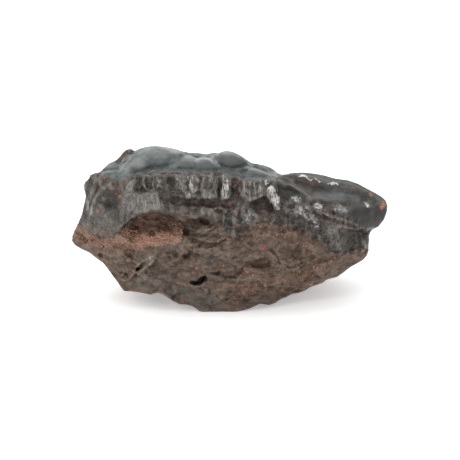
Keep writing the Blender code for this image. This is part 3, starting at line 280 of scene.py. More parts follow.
# Ribs stand up where cracks sink in: the path, half width and height
RIBS = [
    ([(3.2, 37.0), (2.5, 33.2), (1.6, 29.4), (1.3, 25.1)], 1.5, 0.4),
    ([(19.1, 40.6), (21.8, 38.7), (25.3, 36.5)], 0.9, 0.9),
    ([(26.4, 32.3), (29.1, 31.8), (33.2, 30.4), (36.2, 29.3), (39.5, 28.2)], 0.8, 1.1),
    ([(41.4, 24.3), (42.2, 22.4), (43.2, 20.5)], 0.8, 1.0),
    ([(-27.5, 42.5), (-27.1, 40.4), (-26.3, 39.1), (-24.4, 38.9), (-22.7, 39.6), (-22.3, 41.2),
      (-22.9, 42.7)], 0.55, 0.9),
    ([(-37.3, 41.2), (-38.3, 40.6), (-40.5, 39.3), (-42.4, 36.4), (-43.5, 34.2), (-44.0, 31.2)], 1.0, 1.0),
    ([(-41.8, 42.6), (-43.2, 39.3), (-44.0, 36.9), (-44.9, 33.9)], 0.9, 0.9),
    ([(21.8, 43.6), (24.8, 43.0), (27.8, 42.5), (30.3, 41.4), (34.1, 40.9)], 0.7, 0.5),
    ([(-31.5, 11.4), (-29.8, 13.0), (-27.5, 13.7), (-25.6, 15.0), (-24.1, 16.8)], 0.6, 0.6),
    ([(-30.9, 12.2), (-29.8, 14.5), (-27.9, 16.2), (-25.2, 17.5), (-24.1, 18.1)], 0.5, 0.5),
    ([(24.6, 36.2), (31.9, 35.7), (37.0, 35.6), (40.4, 35.9)], 0.9, 0.6),
]

# Surfaces of the face that broke smooth: the outline, and the share of the rough break that is lost
SMOOTH = [
    ([(14.6, 41.6), (22.0, 45.0), (50.0, 40.0), (51.0, 30.0), (45.0, 26.0), (38.0, 30.0), (26.0, 35.4),
      (16.0, 36.4)], 0.85),
    ([(-32.9, 38.0), (-22.5, 38.8), (-22.0, 32.8), (-26.1, 32.0), (-33.1, 33.3)], 0.7),
    ([(11.3, 39.2), (13.1, 40.5), (15.9, 35.2), (15.0, 32.9), (13.2, 35.2)], 0.7),
    ([(5.6, 34.6), (11.0, 37.0), (13.6, 33.0), (8.4, 32.2)], 0.8),
    ([(17.8, 20.6), (23.8, 20.6), (23.6, 17.8), (17.6, 17.8)], 0.6),
    ([(-46.0, 42.0), (-41.0, 43.0), (-34.0, 38.0), (-33.6, 33.0), (-35.4, 27.0), (-38.0, 24.6), (-46.4, 25.6),
      (-47.4, 30.0)], 0.55),
]

# Flakes of the broken surface: size across, deep and up, and how far they step
CRUST_FLAKES = ((1.8, 5.0, 6.5), 0.5)
ROCK_FLAKES = ((7.5, 7.5, 4.6), 1.0)
FINE_FLAKES = ((2.6, 2.6, 1.9), 0.3)
BACK_FLAKES = ((14.0, 14.0, 10.0), 1.3)

# Unevenness: patches per millimetre and height, of the swells, the back and the fine break
SWELLS = (0.07, 0.7)
BACK_SWELLS = (0.09, 1.1)
ROUGHNESS = (0.4, 0.26)

# The box that the flakes fill: its low corner and its size
STONE_LOW = np.array((-52.0, -9.0, -2.0))
STONE_SPAN = np.array((104.0, 60.0, 56.0))

def seen(u, v, depth):
    """The place of a point of the broken face, in millimetres, x right, y back and z up."""
    return (u, depth, (v - depth * LEAN_SIN) / LEAN_COS)


def face_place(points):
    """Where each point is seen on the face: u and v."""
    return points[:, 0], points @ UP_FACE


def smooth_step(values, low, high):
    """0 below low, 1 above high and a smooth rise between."""
    t = np.clip((values - low) / (high - low), 0.0, 1.0)
    return t * t * (3.0 - 2.0 * t)


def line_height(path, u):
    """The height of a line at each u."""
    along, up = zip(*path)
    return np.interp(u, along, up)


def distance_to_path(path, u, v):
    """How far each point of the face is from an open path."""
    nearest = np.full(len(u), np.inf)
    for (u0, v0), (u1, v1) in zip(path, path[1:]):
        du, dv = u1 - u0, v1 - v0
        t = np.clip(((u - u0) * du + (v - v0) * dv) / (du * du + dv * dv), 0.0, 1.0)
        nearest = np.minimum(nearest, np.hypot(u - u0 - t * du, v - v0 - t * dv))
    return nearest


def depth_inside(loop, u, v):
    """How far each point of the face is inside a closed loop, negative outside."""
    closed = [*loop, loop[0]]
    inside = np.zeros(len(u), bool)
    for (u0, v0), (u1, v1) in zip(closed, closed[1:]):
        if v0 != v1:
            inside ^= ((v < v0) != (v < v1)) & (u < u0 + (v - v0) * (u1 - u0) / (v1 - v0))
    return np.where(inside, 1.0, -1.0) * distance_to_path(closed, u, v)


def oval_reach(u, v, oval):
    """0 at an oval's centre and 1 on its outline."""
    u0, v0, half_width, half_height, turn = oval
    c, s = math.cos(math.radians(turn)), math.sin(math.radians(turn))
    across = (u - u0) * c + (v - v0) * s
    up = (v - v0) * c - (u - u0) * s
    return np.hypot(across / half_width, up / half_height)


def slab_relief(slab, u, v):
    """One flat slab that slopes across and upward."""
    loop, height, across, upward = slab
    middle_u, middle_v = np.mean(loop, axis=0)
    inside = smooth_step(depth_inside(loop, u, v), -SLAB_EDGE, SLAB_EDGE)
    return inside * (height + across * (u - middle_u) + upward * (v - middle_v))


def alcove_relief(alcove, u, v):
    """A floor that falls back as it rises, a back wall, and a roof that hangs over them."""
    roof, floor, depth, share, full_height, reach = alcove
    high, low = line_height(roof, u), line_height(floor, u)
    t = (v - low) / np.maximum(high - low, 0.2)
    slope = np.clip(t / share, 0.0, 1.0) ** 1.25 * smooth_step(-t, -1.06, -0.9)
    left, right = roof[0][0], roof[-1][0]
    ends = smooth_step(u, left - 0.3, left + reach) * smooth_step(-u, -right - 0.3, -right + 0.8)
    return -depth * slope * ends * np.clip((high - low) / full_height, 0.0, 1.0)


def fractal(points, scale, octaves):
    """Layered noise at each point, about -1 to 1."""
    return np.array([noise.fractal(Vector(p) * scale, 0.9, 2.1, octaves) for p in points])


def flakes(points, size, seed):
    """Flat, tilted flakes side by side: the rise of each point, about -1 to 1."""
    spread = np.random.default_rng(seed)
    count = int(np.prod(STONE_SPAN / size))
    places = (STONE_LOW + spread.random((count, 3)) * STONE_SPAN) / size
    tree = kdtree.KDTree(count)
    for index, place in enumerate(places):
        tree.insert(place, index)
    tree.balance()
    scaled = points / size
    own = np.array([tree.find(p)[1] for p in scaled])
    tilt = spread.uniform(-1.0, 1.0, (count, 3))[own]
    step = spread.uniform(-0.5, 0.5, count)[own]
    return step + 0.7 * np.sum(tilt * (scaled - places[own]), axis=1)


def face_relief(u, v):
    """How far each point of the broken face stands out, in millimetres."""
    waver = 0.5 * np.sin(u * 1.1) + 0.35 * np.sin(u * 2.9 + 1.0)
    above_edge = v - line_height(CRUST_EDGE, u) + waver
    relief = CRUST_PROUD * smooth_step(above_edge, -CRUST_SOFT / 2, CRUST_SOFT / 2)
    for slab in SLABS:
        relief += slab_relief(slab, u, v)
    for loop, depth, reach in HOLLOWS:
        relief -= depth * smooth_step(depth_inside(loop, u, v), 0.0, reach)
    for *oval, height in SWELLINGS:
        relief += height * smooth_step(-oval_reach(u, v, oval), -1.0, 0.0)
    for *oval, depth in PITS:
        relief -= depth * smooth_step(-oval_reach(u, v, oval), -1.05, -0.5)
    for path, half_width, depth in CRACKS:
        relief -= depth * smooth_step(-distance_to_path(path, u, v), -half_width, 0.0)
    for path, half_width, height in RIBS:
        relief += height * smooth_step(-distance_to_path(path, u, v), -half_width, 0.0)
    for alcove in ALCOVES:
        relief += alcove_relief(alcove, u, v)
    return relief


def fold_depth(u, v):
    """How deep the folds of the skin are, in millimetres."""
    depth = np.zeros(len(u))
    for path, half_width, deepest in FOLDS:
        depth = np.maximum(depth, deepest * smooth_step(-distance_to_path(path, u, v), -half_width, 0.0))
    return depth


def add_hull(mesh, corners):
    """A convex block through its corners."""
    block = bmesh.new()
    for corner in corners:
        block.verts.new(Vector(corner) * MM)
    hull = bmesh.ops.convex_hull(block, input=block.verts)
    loose = [item for item in hull["geom_interior"] if isinstance(item, bmesh.types.BMVert)]
    bmesh.ops.delete(block, geom=loose, context="VERTS")
    part = bpy.data.meshes.new("block")
    block.to_mesh(part)
    mesh.from_mesh(part)
    bpy.data.meshes.remove(part)
    block.free()


def add_ball(mesh, centre, radii):
    """A rounded lump, in millimetres."""
    place = Matrix.Translation(Vector(centre) * MM) @ Matrix.Diagonal((*(Vector(radii) * MM), 1.0))
    bmesh.ops.create_icosphere(mesh, subdivisions=4, radius=1.0, matrix=place)


def add_dome(mesh, u, crest, depth, half_width, half_depth, half_height):
    """A dome whose skyline, as the face is seen, is at the crest's v."""
    rise = math.hypot(half_height * LEAN_COS, half_depth * LEAN_SIN)
    add_ball(mesh, seen(u, crest - rise, depth), (half_width, half_depth, half_height))


def outer_corners(low, high, left, depths):
    """The outline's points between two heights and right of a line, a little outside it."""
    middle = np.array((0.0, 25.0))
    corners = []
    for point in OUTLINE:
        if low <= point[1] <= high and point[0] > left:
            out = np.array(point) - middle
            u, v = point + SPARE * out / np.linalg.norm(out)
            corners.append(seen(u, v, float(line_height(depths, u))))
    return corners


def hidden_domes():
    """The domes behind the ones that are seen, jittered, in the same terms."""
    spread = np.random.default_rng(7)
    skyline = [point for point in OUTLINE if point[1] > 35.0]
    domes = []
    for depth, first, last, count, half_width, drop in DOME_ROWS:
        for u in np.linspace(first, last, count):
            u, depth_here = np.array((u, depth)) + spread.uniform(-ROW_JITTER, ROW_JITTER, 2)
            half = half_width * spread.uniform(0.8, 1.1)
            crest = float(line_height(skyline, u)) - drop - spread.uniform(0.0, 1.0)
            domes.append((u, crest, depth_here, half, half, half * 0.9))
    return domes


def blocked_out():
    """The stone's blocks and domes as one mesh of overlapping shapes."""
    mesh = bmesh.new()
    foot = outer_corners(-1.0, BLOCK_TOP, -60.0, FOOT_DEPTH)
    foot = [corner for corner in foot if corner[0] < 44.6]
    add_hull(mesh, foot + [seen(*p) for p in BLOCK_SEEN] + BLOCK_HIDDEN)
    nose = outer_corners(NOSE_FOOT, 60.0, 18.0, NOSE_DEPTH)
    add_hull(mesh, nose + [seen(*p) for p in NOSE_SEEN] + NOSE_HIDDEN)
    for u, v, depth, along, up in LUMPS:
        add_ball(mesh, seen(u, v, depth), (along, along, up))
    for dome in DOMES + hidden_domes():
        add_dome(mesh, *dome)
    data = bpy.data.meshes.new("hematite")
    mesh.to_mesh(data)
    mesh.free()
    return data


def with_modifier(stone, kind, **settings):
    """Runs one modifier on the stone and keeps its result."""
    modifier = stone.modifiers.new(kind.title(), kind)
    for name, value in settings.items():
        setattr(modifier, name, value)
    graph = bpy.context.evaluated_depsgraph_get()
    made = bpy.data.meshes.new_from_object(stone.evaluated_get(graph))
    stone.modifiers.clear()
    stone.data = made


def fuse(stone, voxel, smoothing):
    """Makes the stone one closed surface of even faces."""
    with_modifier(stone, "REMESH", mode="VOXEL", voxel_size=voxel * MM)
    with_modifier(stone, "SMOOTH", factor=0.5, iterations=smoothing)


def read_surface(stone):
    """The stone's points in millimetres, and which way each faces."""
    count = len(stone.data.vertices)
    points, normals = np.empty(count * 3), np.empty(count * 3, np.float32)
    stone.data.vertices.foreach_get("co", points)
    stone.data.vertex_normals.foreach_get("vector", normals)
    return points.reshape(-1, 3) / MM, normals.reshape(-1, 3).astype(float)


def write_surface(stone, points):
    stone.data.vertices.foreach_set("co", (points * MM).ravel())
    stone.data.update()


def neighbour_mean(stone, values, rounds):
    """Each point's value averaged with those around it, round after round."""
    ends = np.empty(len(stone.data.edges) * 2, np.int32)
    stone.data.edges.foreach_get("vertices", ends)
    first, second = ends[0::2], ends[1::2]
    count = np.bincount(ends, minlength=len(values))
    for _ in range(rounds):
        total = np.empty_like(values)
        for axis, column in enumerate(values.T):
            total[:, axis] = np.bincount(first, column[second], len(values))
            total[:, axis] += np.bincount(second, column[first], len(values))
        values = 0.5 * values + 0.5 * total / count[:, None]
    return values


def soften_folds(stone):
    """Draws the domes together where they meet."""
    points, normals = read_surface(stone)
    soft = neighbour_mean(stone, points, FOLD_ROUNDS)
    write_surface(stone, points + skin_cover(points, normals)[:, None] * (soft - points))


def in_sight(points, normals):
    """1 where the stone faces the front and is no deeper than the first domes."""
    near = smooth_step(-points[:, 1], -SEEN_DEPTH - 2.0, -SEEN_DEPTH)
    return near * smooth_step(normals @ OUT_OF_FACE, -0.3, 0.05)


def skin_cover(points, normals):
    """1 on the botryoidal skin and 0 on broken stone."""
    u, v = face_place(points)
    over_rim = smooth_step(v - line_height(RIM, u), -0.2, 0.6)
    over_rim *= 1.0 - in_sight(points, normals) * smooth_step(depth_inside(KNOB, u, v), -0.4, 0.4)
    behind = smooth_step(-(normals @ OUT_OF_FACE), -0.1, 0.2) * smooth_step(normals[:, 2], 0.1, 0.4)
    return np.maximum(over_rim, behind * smooth_step(points[:, 2], SKIN_FOOT - 2.0, SKIN_FOOT + 2.0))


def break_cover(points, normals):
    """1 where the stone broke rough, less where it broke smooth and 0 on the skin."""
    u, v = face_place(points)
    cover = 1.0 - skin_cover(points, normals)
    front = smooth_step(normals @ OUT_OF_FACE, 0.0, 0.3)
    for loop, loss in SMOOTH:
        cover *= 1.0 - loss * front * smooth_step(depth_inside(loop, u, v), -0.6, 0.6)
    return cover


def sculpt(stone):
    """Breaks the front face and roughens the rest."""
    points, normals = read_surface(stone)
    u, v = face_place(points)
    facing = normals @ OUT_OF_FACE
    skin = skin_cover(points, normals)
    front = smooth_step(facing, 0.12, 0.42) * (1.0 - skin)
    cover = break_cover(points, normals)
    back = cover * (1.0 - smooth_step(facing, -0.2, 0.2))
    crust = smooth_step(v - line_height(CRUST_EDGE, u), -1.0, 1.0)
    broken = crust * flakes(points, CRUST_FLAKES[0], 3) * CRUST_FLAKES[1]
    broken += (1.0 - crust) * flakes(points, ROCK_FLAKES[0], 4) * ROCK_FLAKES[1]
    broken += back * flakes(points, BACK_FLAKES[0], 6) * BACK_FLAKES[1]
    broken += back * fractal(points, BACK_SWELLS[0], 3) * BACK_SWELLS[1]
    broken += fractal(points, SWELLS[0], 2) * SWELLS[1]
    folded = skin * in_sight(points, normals) * fold_depth(u, v)
    points += (front * face_relief(u, v))[:, None] * OUT_OF_FACE
    write_surface(stone, points + (cover * broken - folded)[:, None] * normals)


def roughen(stone):
    """The fine break of everything but the domes."""
    points, normals = read_surface(stone)
    rough = fractal(points, ROUGHNESS[0], 3) * ROUGHNESS[1]
    rough += flakes(points, FINE_FLAKES[0], 5) * FINE_FLAKES[1]
    write_surface(stone, points + (rough * break_cover(points, normals))[:, None] * normals)


def trim(stone, beyond):
    """Draws in whatever passes the outline by more than beyond, as the face is seen."""
    points, _ = read_surface(stone)
    u, v = face_place(points)
    inside = depth_inside(OUTLINE, u, v) + beyond
    near = inside < OUTLINE_ROUNDING
    u, v, inside = u[near], v[near], inside[near]
    step = 0.05
    right = (depth_inside(OUTLINE, u + step, v) - depth_inside(OUTLINE, u - step, v)) / (2.0 * step)
    up = (depth_inside(OUTLINE, u, v + step) - depth_inside(OUTLINE, u, v - step)) / (2.0 * step)
    move = OUTLINE_ROUNDING * np.exp(inside / OUTLINE_ROUNDING - 1.0) - inside
    points[near, 0] += move * right
    points[near] += (move * up)[:, None] * UP_FACE
    write_surface(stone, points)


# Fibres of the crust: (patches per millimetre across, deep and up), height; the coarse and the fine ones
FIBRES = [((0.75, 0.3, 0.12), 0.22), ((1.9, 0.6, 0.28), 0.12)]
# Grain of the matrix: patches per millimetre and height
GRAIN = (1.2, 0.16)
# Chips of the glittering faces: size across, deep and up, and how far they step, and their seed
CHIPS = ((1.3, 1.3, 1.0), 0.32)
CHIP_SEED = 9

# Zones of the finish, each a closed loop on the face with its strength and how softly it ends. First the
# pale faces of the crust, a painted highlight where they would catch the light
SHEEN = [
    ([(-32.9, 38.0), (-28.0, 38.3), (-22.5, 38.8), (-21.7, 35.3), (-22.0, 32.8), (-26.1, 32.0),
      (-31.8, 32.6), (-33.1, 35.3)], 0.16, 2.0),
    ([(-32.6, 41.3), (-30.1, 42.0), (-30.1, 38.8), (-32.6, 38.3)], 0.3, 0.8),
    ([(-25.6, 41.0), (-23.4, 42.0), (-23.2, 40.2), (-25.2, 39.8)], 0.25, 0.8),
    ([(-16.6, 43.5), (-10.3, 43.3), (-9.8, 41.6), (-10.3, 39.2), (-11.1, 37.1), (-13.4, 36.1),
      (-15.0, 38.9), (-17.2, 40.0)], 0.6, 0.8),
    ([(-8.6, 43.0), (-3.7, 43.4), (-4.0, 38.1), (-4.4, 36.3), (-8.7, 36.1), (-9.1, 39.2)], 0.24, 0.8),
    ([(-2.4, 43.6), (-0.8, 42.7), (0.1, 40.6), (-0.4, 38.2), (-0.2, 36.1), (-2.7, 36.1), (-2.8, 38.1),
      (-2.2, 40.8)], 0.82, 0.5),
    ([(3.9, 41.6), (9.7, 41.6), (11.0, 39.2), (10.8, 37.1), (8.4, 35.9), (4.7, 35.0), (3.4, 37.7)],
     0.34, 0.8),
    ([(11.5, 39.2), (13.0, 40.6), (14.6, 38.6), (16.2, 36.0), (15.7, 33.2), (14.2, 32.6), (12.9, 35.2),
      (11.5, 37.8)], 1.1, 0.5),
    ([(42.2, 35.0), (43.8, 35.4), (43.9, 33.6), (42.6, 33.9)], 0.8, 0.4),
    ([(40.9, 25.0), (42.4, 24.6), (43.8, 21.0), (42.6, 20.6)], 0.5, 0.5),
    ([(10.7, 41.7), (11.9, 41.9), (11.6, 40.4), (10.8, 40.2)], 1.0, 0.3),
]
# The faces that glitter in chips: painted highlights in patches, over chipped relief
GLITTER = [
    ([(17.3, 35.4), (19.3, 36.5), (21.8, 36.7), (23.1, 36.0), (22.6, 34.9), (19.8, 34.9), (18.0, 34.2)],
     0.7, 0.8),
    ([(18.3, 32.9), (20.1, 34.2), (21.8, 33.6), (23.9, 32.7), (24.4, 31.1), (22.3, 30.9), (20.8, 31.6),
      (19.3, 31.6)], 0.6, 0.8),
    ([(17.0, 35.6), (24.4, 36.2), (25.4, 31.4), (23.0, 30.4), (18.0, 31.6)], 0.18, 1.6),
    ([(21.6, 33.4), (24.4, 33.4), (26.0, 31.8), (26.6, 30.2), (25.0, 29.6), (22.6, 30.8)], 0.5, 1.0),
    ([(25.2, 31.3), (26.6, 31.2), (27.9, 29.1), (28.1, 27.4), (26.9, 27.6), (25.9, 29.4)], 1.2, 0.6),
    ([(26.4, 34.7), (27.9, 34.9), (29.2, 33.9), (28.7, 32.9), (26.9, 32.9), (26.3, 33.7)], 1.2, 0.4),
    ([(32.0, 34.2), (34.0, 34.7), (36.5, 33.7), (37.0, 32.2), (35.0, 31.6), (33.0, 32.4)], 0.4, 1.0),
    ([(4.2, 34.2), (7.2, 33.8), (8.6, 30.6), (6.6, 28.1), (4.1, 27.8), (3.6, 31.1)], 0.62, 1.0),
    ([(29.9, 28.6), (34.0, 28.1), (36.5, 26.1), (34.0, 25.1), (30.4, 25.6)], 0.12, 2.0),
    ([(-15.2, 33.7), (-0.8, 32.9), (-1.3, 31.3), (-5.1, 30.7), (-12.7, 30.7), (-15.2, 32.0)], 0.3, 0.9),
    ([(-32.0, 35.0), (-24.0, 36.4), (-22.4, 33.6), (-26.0, 32.4), (-32.0, 33.0)], 0.1, 1.6),
]
# Glints, painted highlights on the brightest edges of all: path, half width
GLINTS = [
    ([(21.9, 42.7), (22.6, 43.2), (23.6, 43.2), (24.4, 42.8), (25.0, 42.1), (25.6, 41.9)], 0.32),
    ([(26.5, 42.3), (27.4, 42.0), (28.0, 41.6)], 0.36), ([(28.4, 41.5), (29.6, 41.2)], 0.28),
    ([(31.0, 40.8), (32.2, 41.0), (33.6, 40.8), (34.1, 40.4)], 0.32),
    ([(31.2, 40.6), (32.6, 40.4), (33.8, 40.3)], 0.26),
    ([(26.7, 34.3), (27.3, 34.5)], 0.3), ([(27.8, 34.1), (28.7, 33.6)], 0.26),
    ([(26.9, 33.5), (27.9, 33.1)], 0.26),
    ([(42.4, 35.0), (43.2, 34.6), (43.6, 33.8)], 0.34), ([(43.0, 33.6), (43.5, 33.2)], 0.3),
    ([(-25.3, 17.4), (-25.1, 16.7)], 0.2), ([(10.8, 41.5), (11.5, 40.9)], 0.14),
    ([(11.8, 41.6), (12.0, 40.8)], 0.12),
    ([(-2.0, 42.4), (-1.5, 40.6)], 0.12), ([(-1.0, 41.4), (-0.8, 39.4)], 0.12),
    ([(12.6, 39.6), (13.3, 38.4)], 0.3), ([(13.4, 37.6), (14.0, 36.0)], 0.3),
    ([(14.4, 36.9), (15.2, 34.9)], 0.28),
    ([(13.9, 35.0), (14.8, 33.4)], 0.24),
]
# The narrow bright lips and edges, painted highlights that join the sheen: path, half width, strength
BRIGHT_LINES = [
    ([(-27.5, 42.5), (-27.1, 40.4), (-26.3, 39.1), (-24.4, 38.9), (-22.7, 39.6), (-22.3, 41.2),
      (-22.9, 42.7)], 0.5, 0.34),
    ([(28.4, 31.6), (33.2, 29.9), (36.2, 28.8)], 0.4, 0.45),
    ([(-37.3, 41.0), (-40.5, 39.1), (-42.4, 36.4), (-43.5, 34.2), (-44.0, 31.2)], 0.9, 0.26),
    ([(-41.8, 42.6), (-43.2, 39.3), (-44.0, 36.9), (-45.2, 32.9)], 0.8, 0.24),
]
# The even grey faces
GREY_ZONES = [
    ([(-9.6, 18.6), (-5.0, 19.4), (-3.4, 17.0), (-6.0, 14.4), (-9.2, 15.4)], 0.5, 2.0),
    ([(-2.4, 16.4), (1.6, 17.2), (3.8, 15.0), (1.0, 12.8), (-1.8, 13.4)], 0.45, 1.8),
    ([(-22.0, 8.2), (-14.0, 9.0), (-8.0, 8.0), (-1.6, 4.8), (-3.0, 0.4), (-10.0, 1.0), (-18.0, 4.4)],
     0.8, 2.6),
    ([(-29.6, 16.4), (-23.6, 19.6), (-21.6, 18.0), (-26.4, 14.0)], 0.5, 2.0),
    ([(-44.0, 34.0), (-39.0, 33.0), (-35.4, 29.0), (-34.4, 26.6), (-38.0, 24.4), (-43.6, 25.2),
      (-46.6, 28.0)], 0.5, 3.2),
    ([(-30.5, 11.5), (-24.0, 13.6), (-18.6, 13.4), (-18.4, 8.4), (-24.0, 7.2), (-31.0, 8.0)], 0.7, 2.6),
    ([(-11.0, 25.0), (-6.0, 25.8), (-2.6, 24.4), (-5.4, 22.4), (-9.4, 22.6)], 0.5, 1.4),
    ([(29.9, 28.6), (33.6, 29.2), (36.2, 27.4), (36.4, 23.1), (34.2, 20.7), (30.7, 23.1)], 0.35, 2.4),
    ([(-34.5, 38.4), (-22.2, 38.8), (-21.4, 33.0), (-26.1, 31.0), (-34.5, 31.6)], 0.8, 1.8),
    ([(18.6, 42.4), (22.6, 42.4), (27.0, 41.0), (28.0, 39.2), (24.6, 38.2), (20.0, 39.2)], 1.0, 1.4),
    ([(-24.0, 21.0), (-15.0, 21.4), (-8.0, 20.6), (-10.0, 18.6), (-17.0, 19.2), (-23.0, 18.6)], 0.4, 2.0),
]
# The blue-grey sheen on the nose, a painted reflection of the bright light above
BLUE_ZONES = [
    ([(15.0, 40.9), (19.0, 40.4), (22.0, 38.6), (24.6, 36.4), (16.6, 36.6), (15.6, 38.6)], 0.3, 1.4),
    ([(25.0, 37.0), (29.0, 38.8), (33.0, 39.4), (37.4, 38.6), (41.0, 37.2), (40.2, 36.4), (32.0, 36.4)],
     1.0, 2.0),
    ([(19.6, 41.6), (24.0, 40.4), (26.4, 38.6), (24.0, 37.8), (21.6, 38.8)], 0.9, 1.4),
    ([(36.0, 29.8), (44.0, 31.6), (47.0, 30.6), (45.6, 27.6), (40.0, 27.8)], 0.25, 2.0),
]
# The faces that stay dark: painted shade in grooves, hollows, pits and undersides, and some darker patches
DARK_ZONES = [
    ([(-20.9, 33.9), (-0.6, 32.9), (-1.3, 31.3), (-12.7, 30.5), (-18.4, 31.2)], 0.18, 1.2),
    ([(-42.6, 43.0), (-38.4, 43.4), (-36.6, 41.6), (-38.0, 39.4), (-41.8, 39.6)], 0.35, 1.6),
    ([(-20.0, 6.6), (-14.0, 7.6), (-8.0, 6.6), (-3.0, 3.4), (-5.0, 0.2), (-12.0, 1.4), (-18.0, 3.6)],
     0.22, 2.4),
    ([(-14.8, 28.8), (-12.5, 29.9), (-11.0, 29.4), (-10.4, 27.0), (-10.8, 25.0), (-14.8, 24.4)], 0.5, 1.6),
    ([(-27.6, 26.0), (-26.0, 27.4), (-22.5, 27.8), (-19.5, 29.2), (-17.6, 29.0), (-19.4, 27.2), (-22.6, 26.0),
      (-26.6, 25.2)], 0.35, 1.2),
    ([(-39.7, 38.8), (-35.6, 40.4), (-33.3, 38.5), (-34.2, 34.2), (-35.6, 32.8), (-39.7, 31.2),
      (-41.0, 34.7)], 0.12, 1.6),
    ([(-30.0, 38.9), (-28.0, 38.6), (-27.4, 41.2), (-29.2, 41.4)], 0.4, 0.9),
    ([(6.6, 34.9), (8.5, 35.7), (10.8, 36.8), (12.1, 35.2), (13.2, 33.2), (10.4, 33.2), (8.4, 33.8)],
     0.12, 1.0),
    ([(-3.5, 43.6), (-3.0, 43.4), (-3.1, 36.4), (-3.7, 36.6)], 0.5, 0.5),
    ([(-21.6, 43.0), (-17.6, 43.0), (-17.6, 40.4), (-16.2, 37.0), (-21.0, 38.0)], 0.4, 0.8),
    ([(35.4, 25.4), (40.0, 27.0), (42.4, 25.6), (41.0, 21.4), (37.0, 19.8), (35.2, 21.6)], 0.5, 1.0),
    ([(37.0, 32.0), (41.0, 33.4), (44.6, 33.0), (47.6, 35.0), (49.6, 33.4), (49.6, 31.0), (47.6, 27.8),
      (45.6, 26.2), (40.5, 27.2)], 1.0, 1.4),
    ([(22.6, 40.4), (26.6, 37.8), (32.0, 38.0), (40.6, 36.6), (40.8, 35.8), (30.0, 36.2), (24.4, 37.2)],
     0.3, 0.8),
    ([(15.6, 40.6), (20.0, 39.6), (24.0, 36.8), (16.6, 36.6)], 0.35, 1.0),
    ([(26.4, 36.0), (31.0, 35.6), (38.4, 35.6), (40.0, 34.8), (33.0, 34.9), (28.6, 35.0)], 0.5, 0.5),
    ([(28.4, 31.4), (33.0, 28.6), (29.4, 27.2), (28.4, 28.0)], 0.4, 1.0),
    ([(14.4, 31.6), (20.0, 30.4), (24.6, 27.6), (28.6, 24.0), (26.4, 24.0), (20.0, 27.2), (14.8, 29.0)],
     0.45, 1.4),
    ([(-14.6, 28.2), (-13.0, 27.6), (-10.2, 25.4), (-11.4, 24.6), (-14.2, 25.4)], 0.7, 1.0),
    ([(-14.8, 29.0), (-12.0, 30.0), (-8.0, 29.6), (-6.5, 28.4), (-9.5, 27.0), (-12.0, 26.0), (-14.6, 26.4)],
     0.3, 1.2),
    ([(-30.0, 13.6), (-28.2, 15.8), (-26.6, 16.8), (-27.6, 14.8), (-29.6, 13.3)], 0.85, 0.6),
    ([(-14.4, 11.4), (-4.2, 14.2), (2.4, 12.4), (2.0, 10.4), (-5.0, 9.4), (-12.4, 8.6)], 0.3, 2.0),
    ([(1.6, 5.0), (14.0, 6.6), (20.0, 6.6), (14.0, 3.0), (3.0, 1.4)], 0.35, 2.0),
]
# Painted shade lines, in the same terms as the bright ones: under the skin's edge, round a slab of the crust
# and along the alcove's roof
DARK_LINES = [
    ([(-29.9, 43.6), (-25.6, 44.0), (-20.6, 44.2), (-13.8, 43.9), (-7.9, 44.0), (-3.3, 44.2), (0.5, 43.6),
      (3.9, 42.7), (7.3, 42.2), (10.6, 41.9)], 0.4, 0.6),
    ([(-28.2, 42.7), (-28.0, 40.2), (-27.0, 38.4), (-24.2, 38.2), (-21.9, 39.0)], 0.4, 0.6),
    ([(-35.4, 25.4), (-34.5, 26.5), (-32.9, 28.2), (-30.4, 30.0), (-27.5, 30.9), (-25.9, 31.4), (-22.0, 31.4),
      (-19.3, 30.8), (-16.8, 29.9), (-14.7, 28.8)], 0.45, 0.55),
]
# Where the matrix is strewn with rust-coloured and pinkish flecks
RUSTY_ZONES = [
    ([(-6.6, 14.6), (-2.0, 14.4), (-1.6, 12.0), (-4.6, 11.0), (-7.0, 12.4)], 1.0, 1.6),
    ([(-1.0, 9.6), (4.0, 10.2), (9.0, 9.0), (12.4, 9.6), (13.0, 6.6), (7.0, 4.6), (1.0, 5.6)], 1.0, 2.4),
    ([(6.0, 13.4), (9.0, 14.8), (14.4, 13.4), (14.8, 11.2), (9.0, 10.2), (6.0, 11.0)], 0.9, 1.6),
    ([(22.6, 22.4), (27.4, 22.2), (27.8, 18.0), (23.8, 17.8)], 1.0, 1.6),
    ([(30.4, 18.2), (34.6, 18.2), (35.0, 15.0), (30.4, 14.8)], 1.0, 1.4),
    ([(17.6, 9.6), (26.8, 13.2), (28.6, 11.4), (19.6, 6.4)], 1.0, 1.8),
    ([(-35.4, 14.4), (-31.6, 15.0), (-29.4, 10.4), (-31.6, 8.0), (-34.6, 10.0)], 1.0, 1.8),
    ([(-3.4, 25.4), (12.6, 26.6), (12.6, 22.4), (4.0, 20.8), (-3.0, 21.4)], 0.8, 2.4),
    ([(-49.6, 25.0), (-30.0, 24.6), (-27.0, 20.4), (-36.0, 19.0), (-49.6, 22.0)], 0.8, 2.0),
    ([(12.6, 27.0), (20.0, 27.6), (25.0, 24.0), (20.0, 22.4), (13.0, 23.0)], 0.6, 2.0),
    ([(-4.4, 3.6), (4.0, 3.4), (8.4, 4.4), (4.0, 0.8), (-4.0, 0.4)], 0.5, 1.6),
]
# Matrix that shows above the crust's edge
BARE_ZONES = [
    ([(-51.0, 28.4), (-47.4, 28.0), (-45.2, 26.2), (-43.6, 24.0), (-50.0, 22.6)], 1.0, 3.0),
    ([(-15.4, 29.0), (-12.5, 30.0), (-9.5, 30.1), (-6.5, 29.0), (-4.0, 27.2), (-3.0, 25.0), (-15.4, 25.0)],
     1.0, 0.8),
]
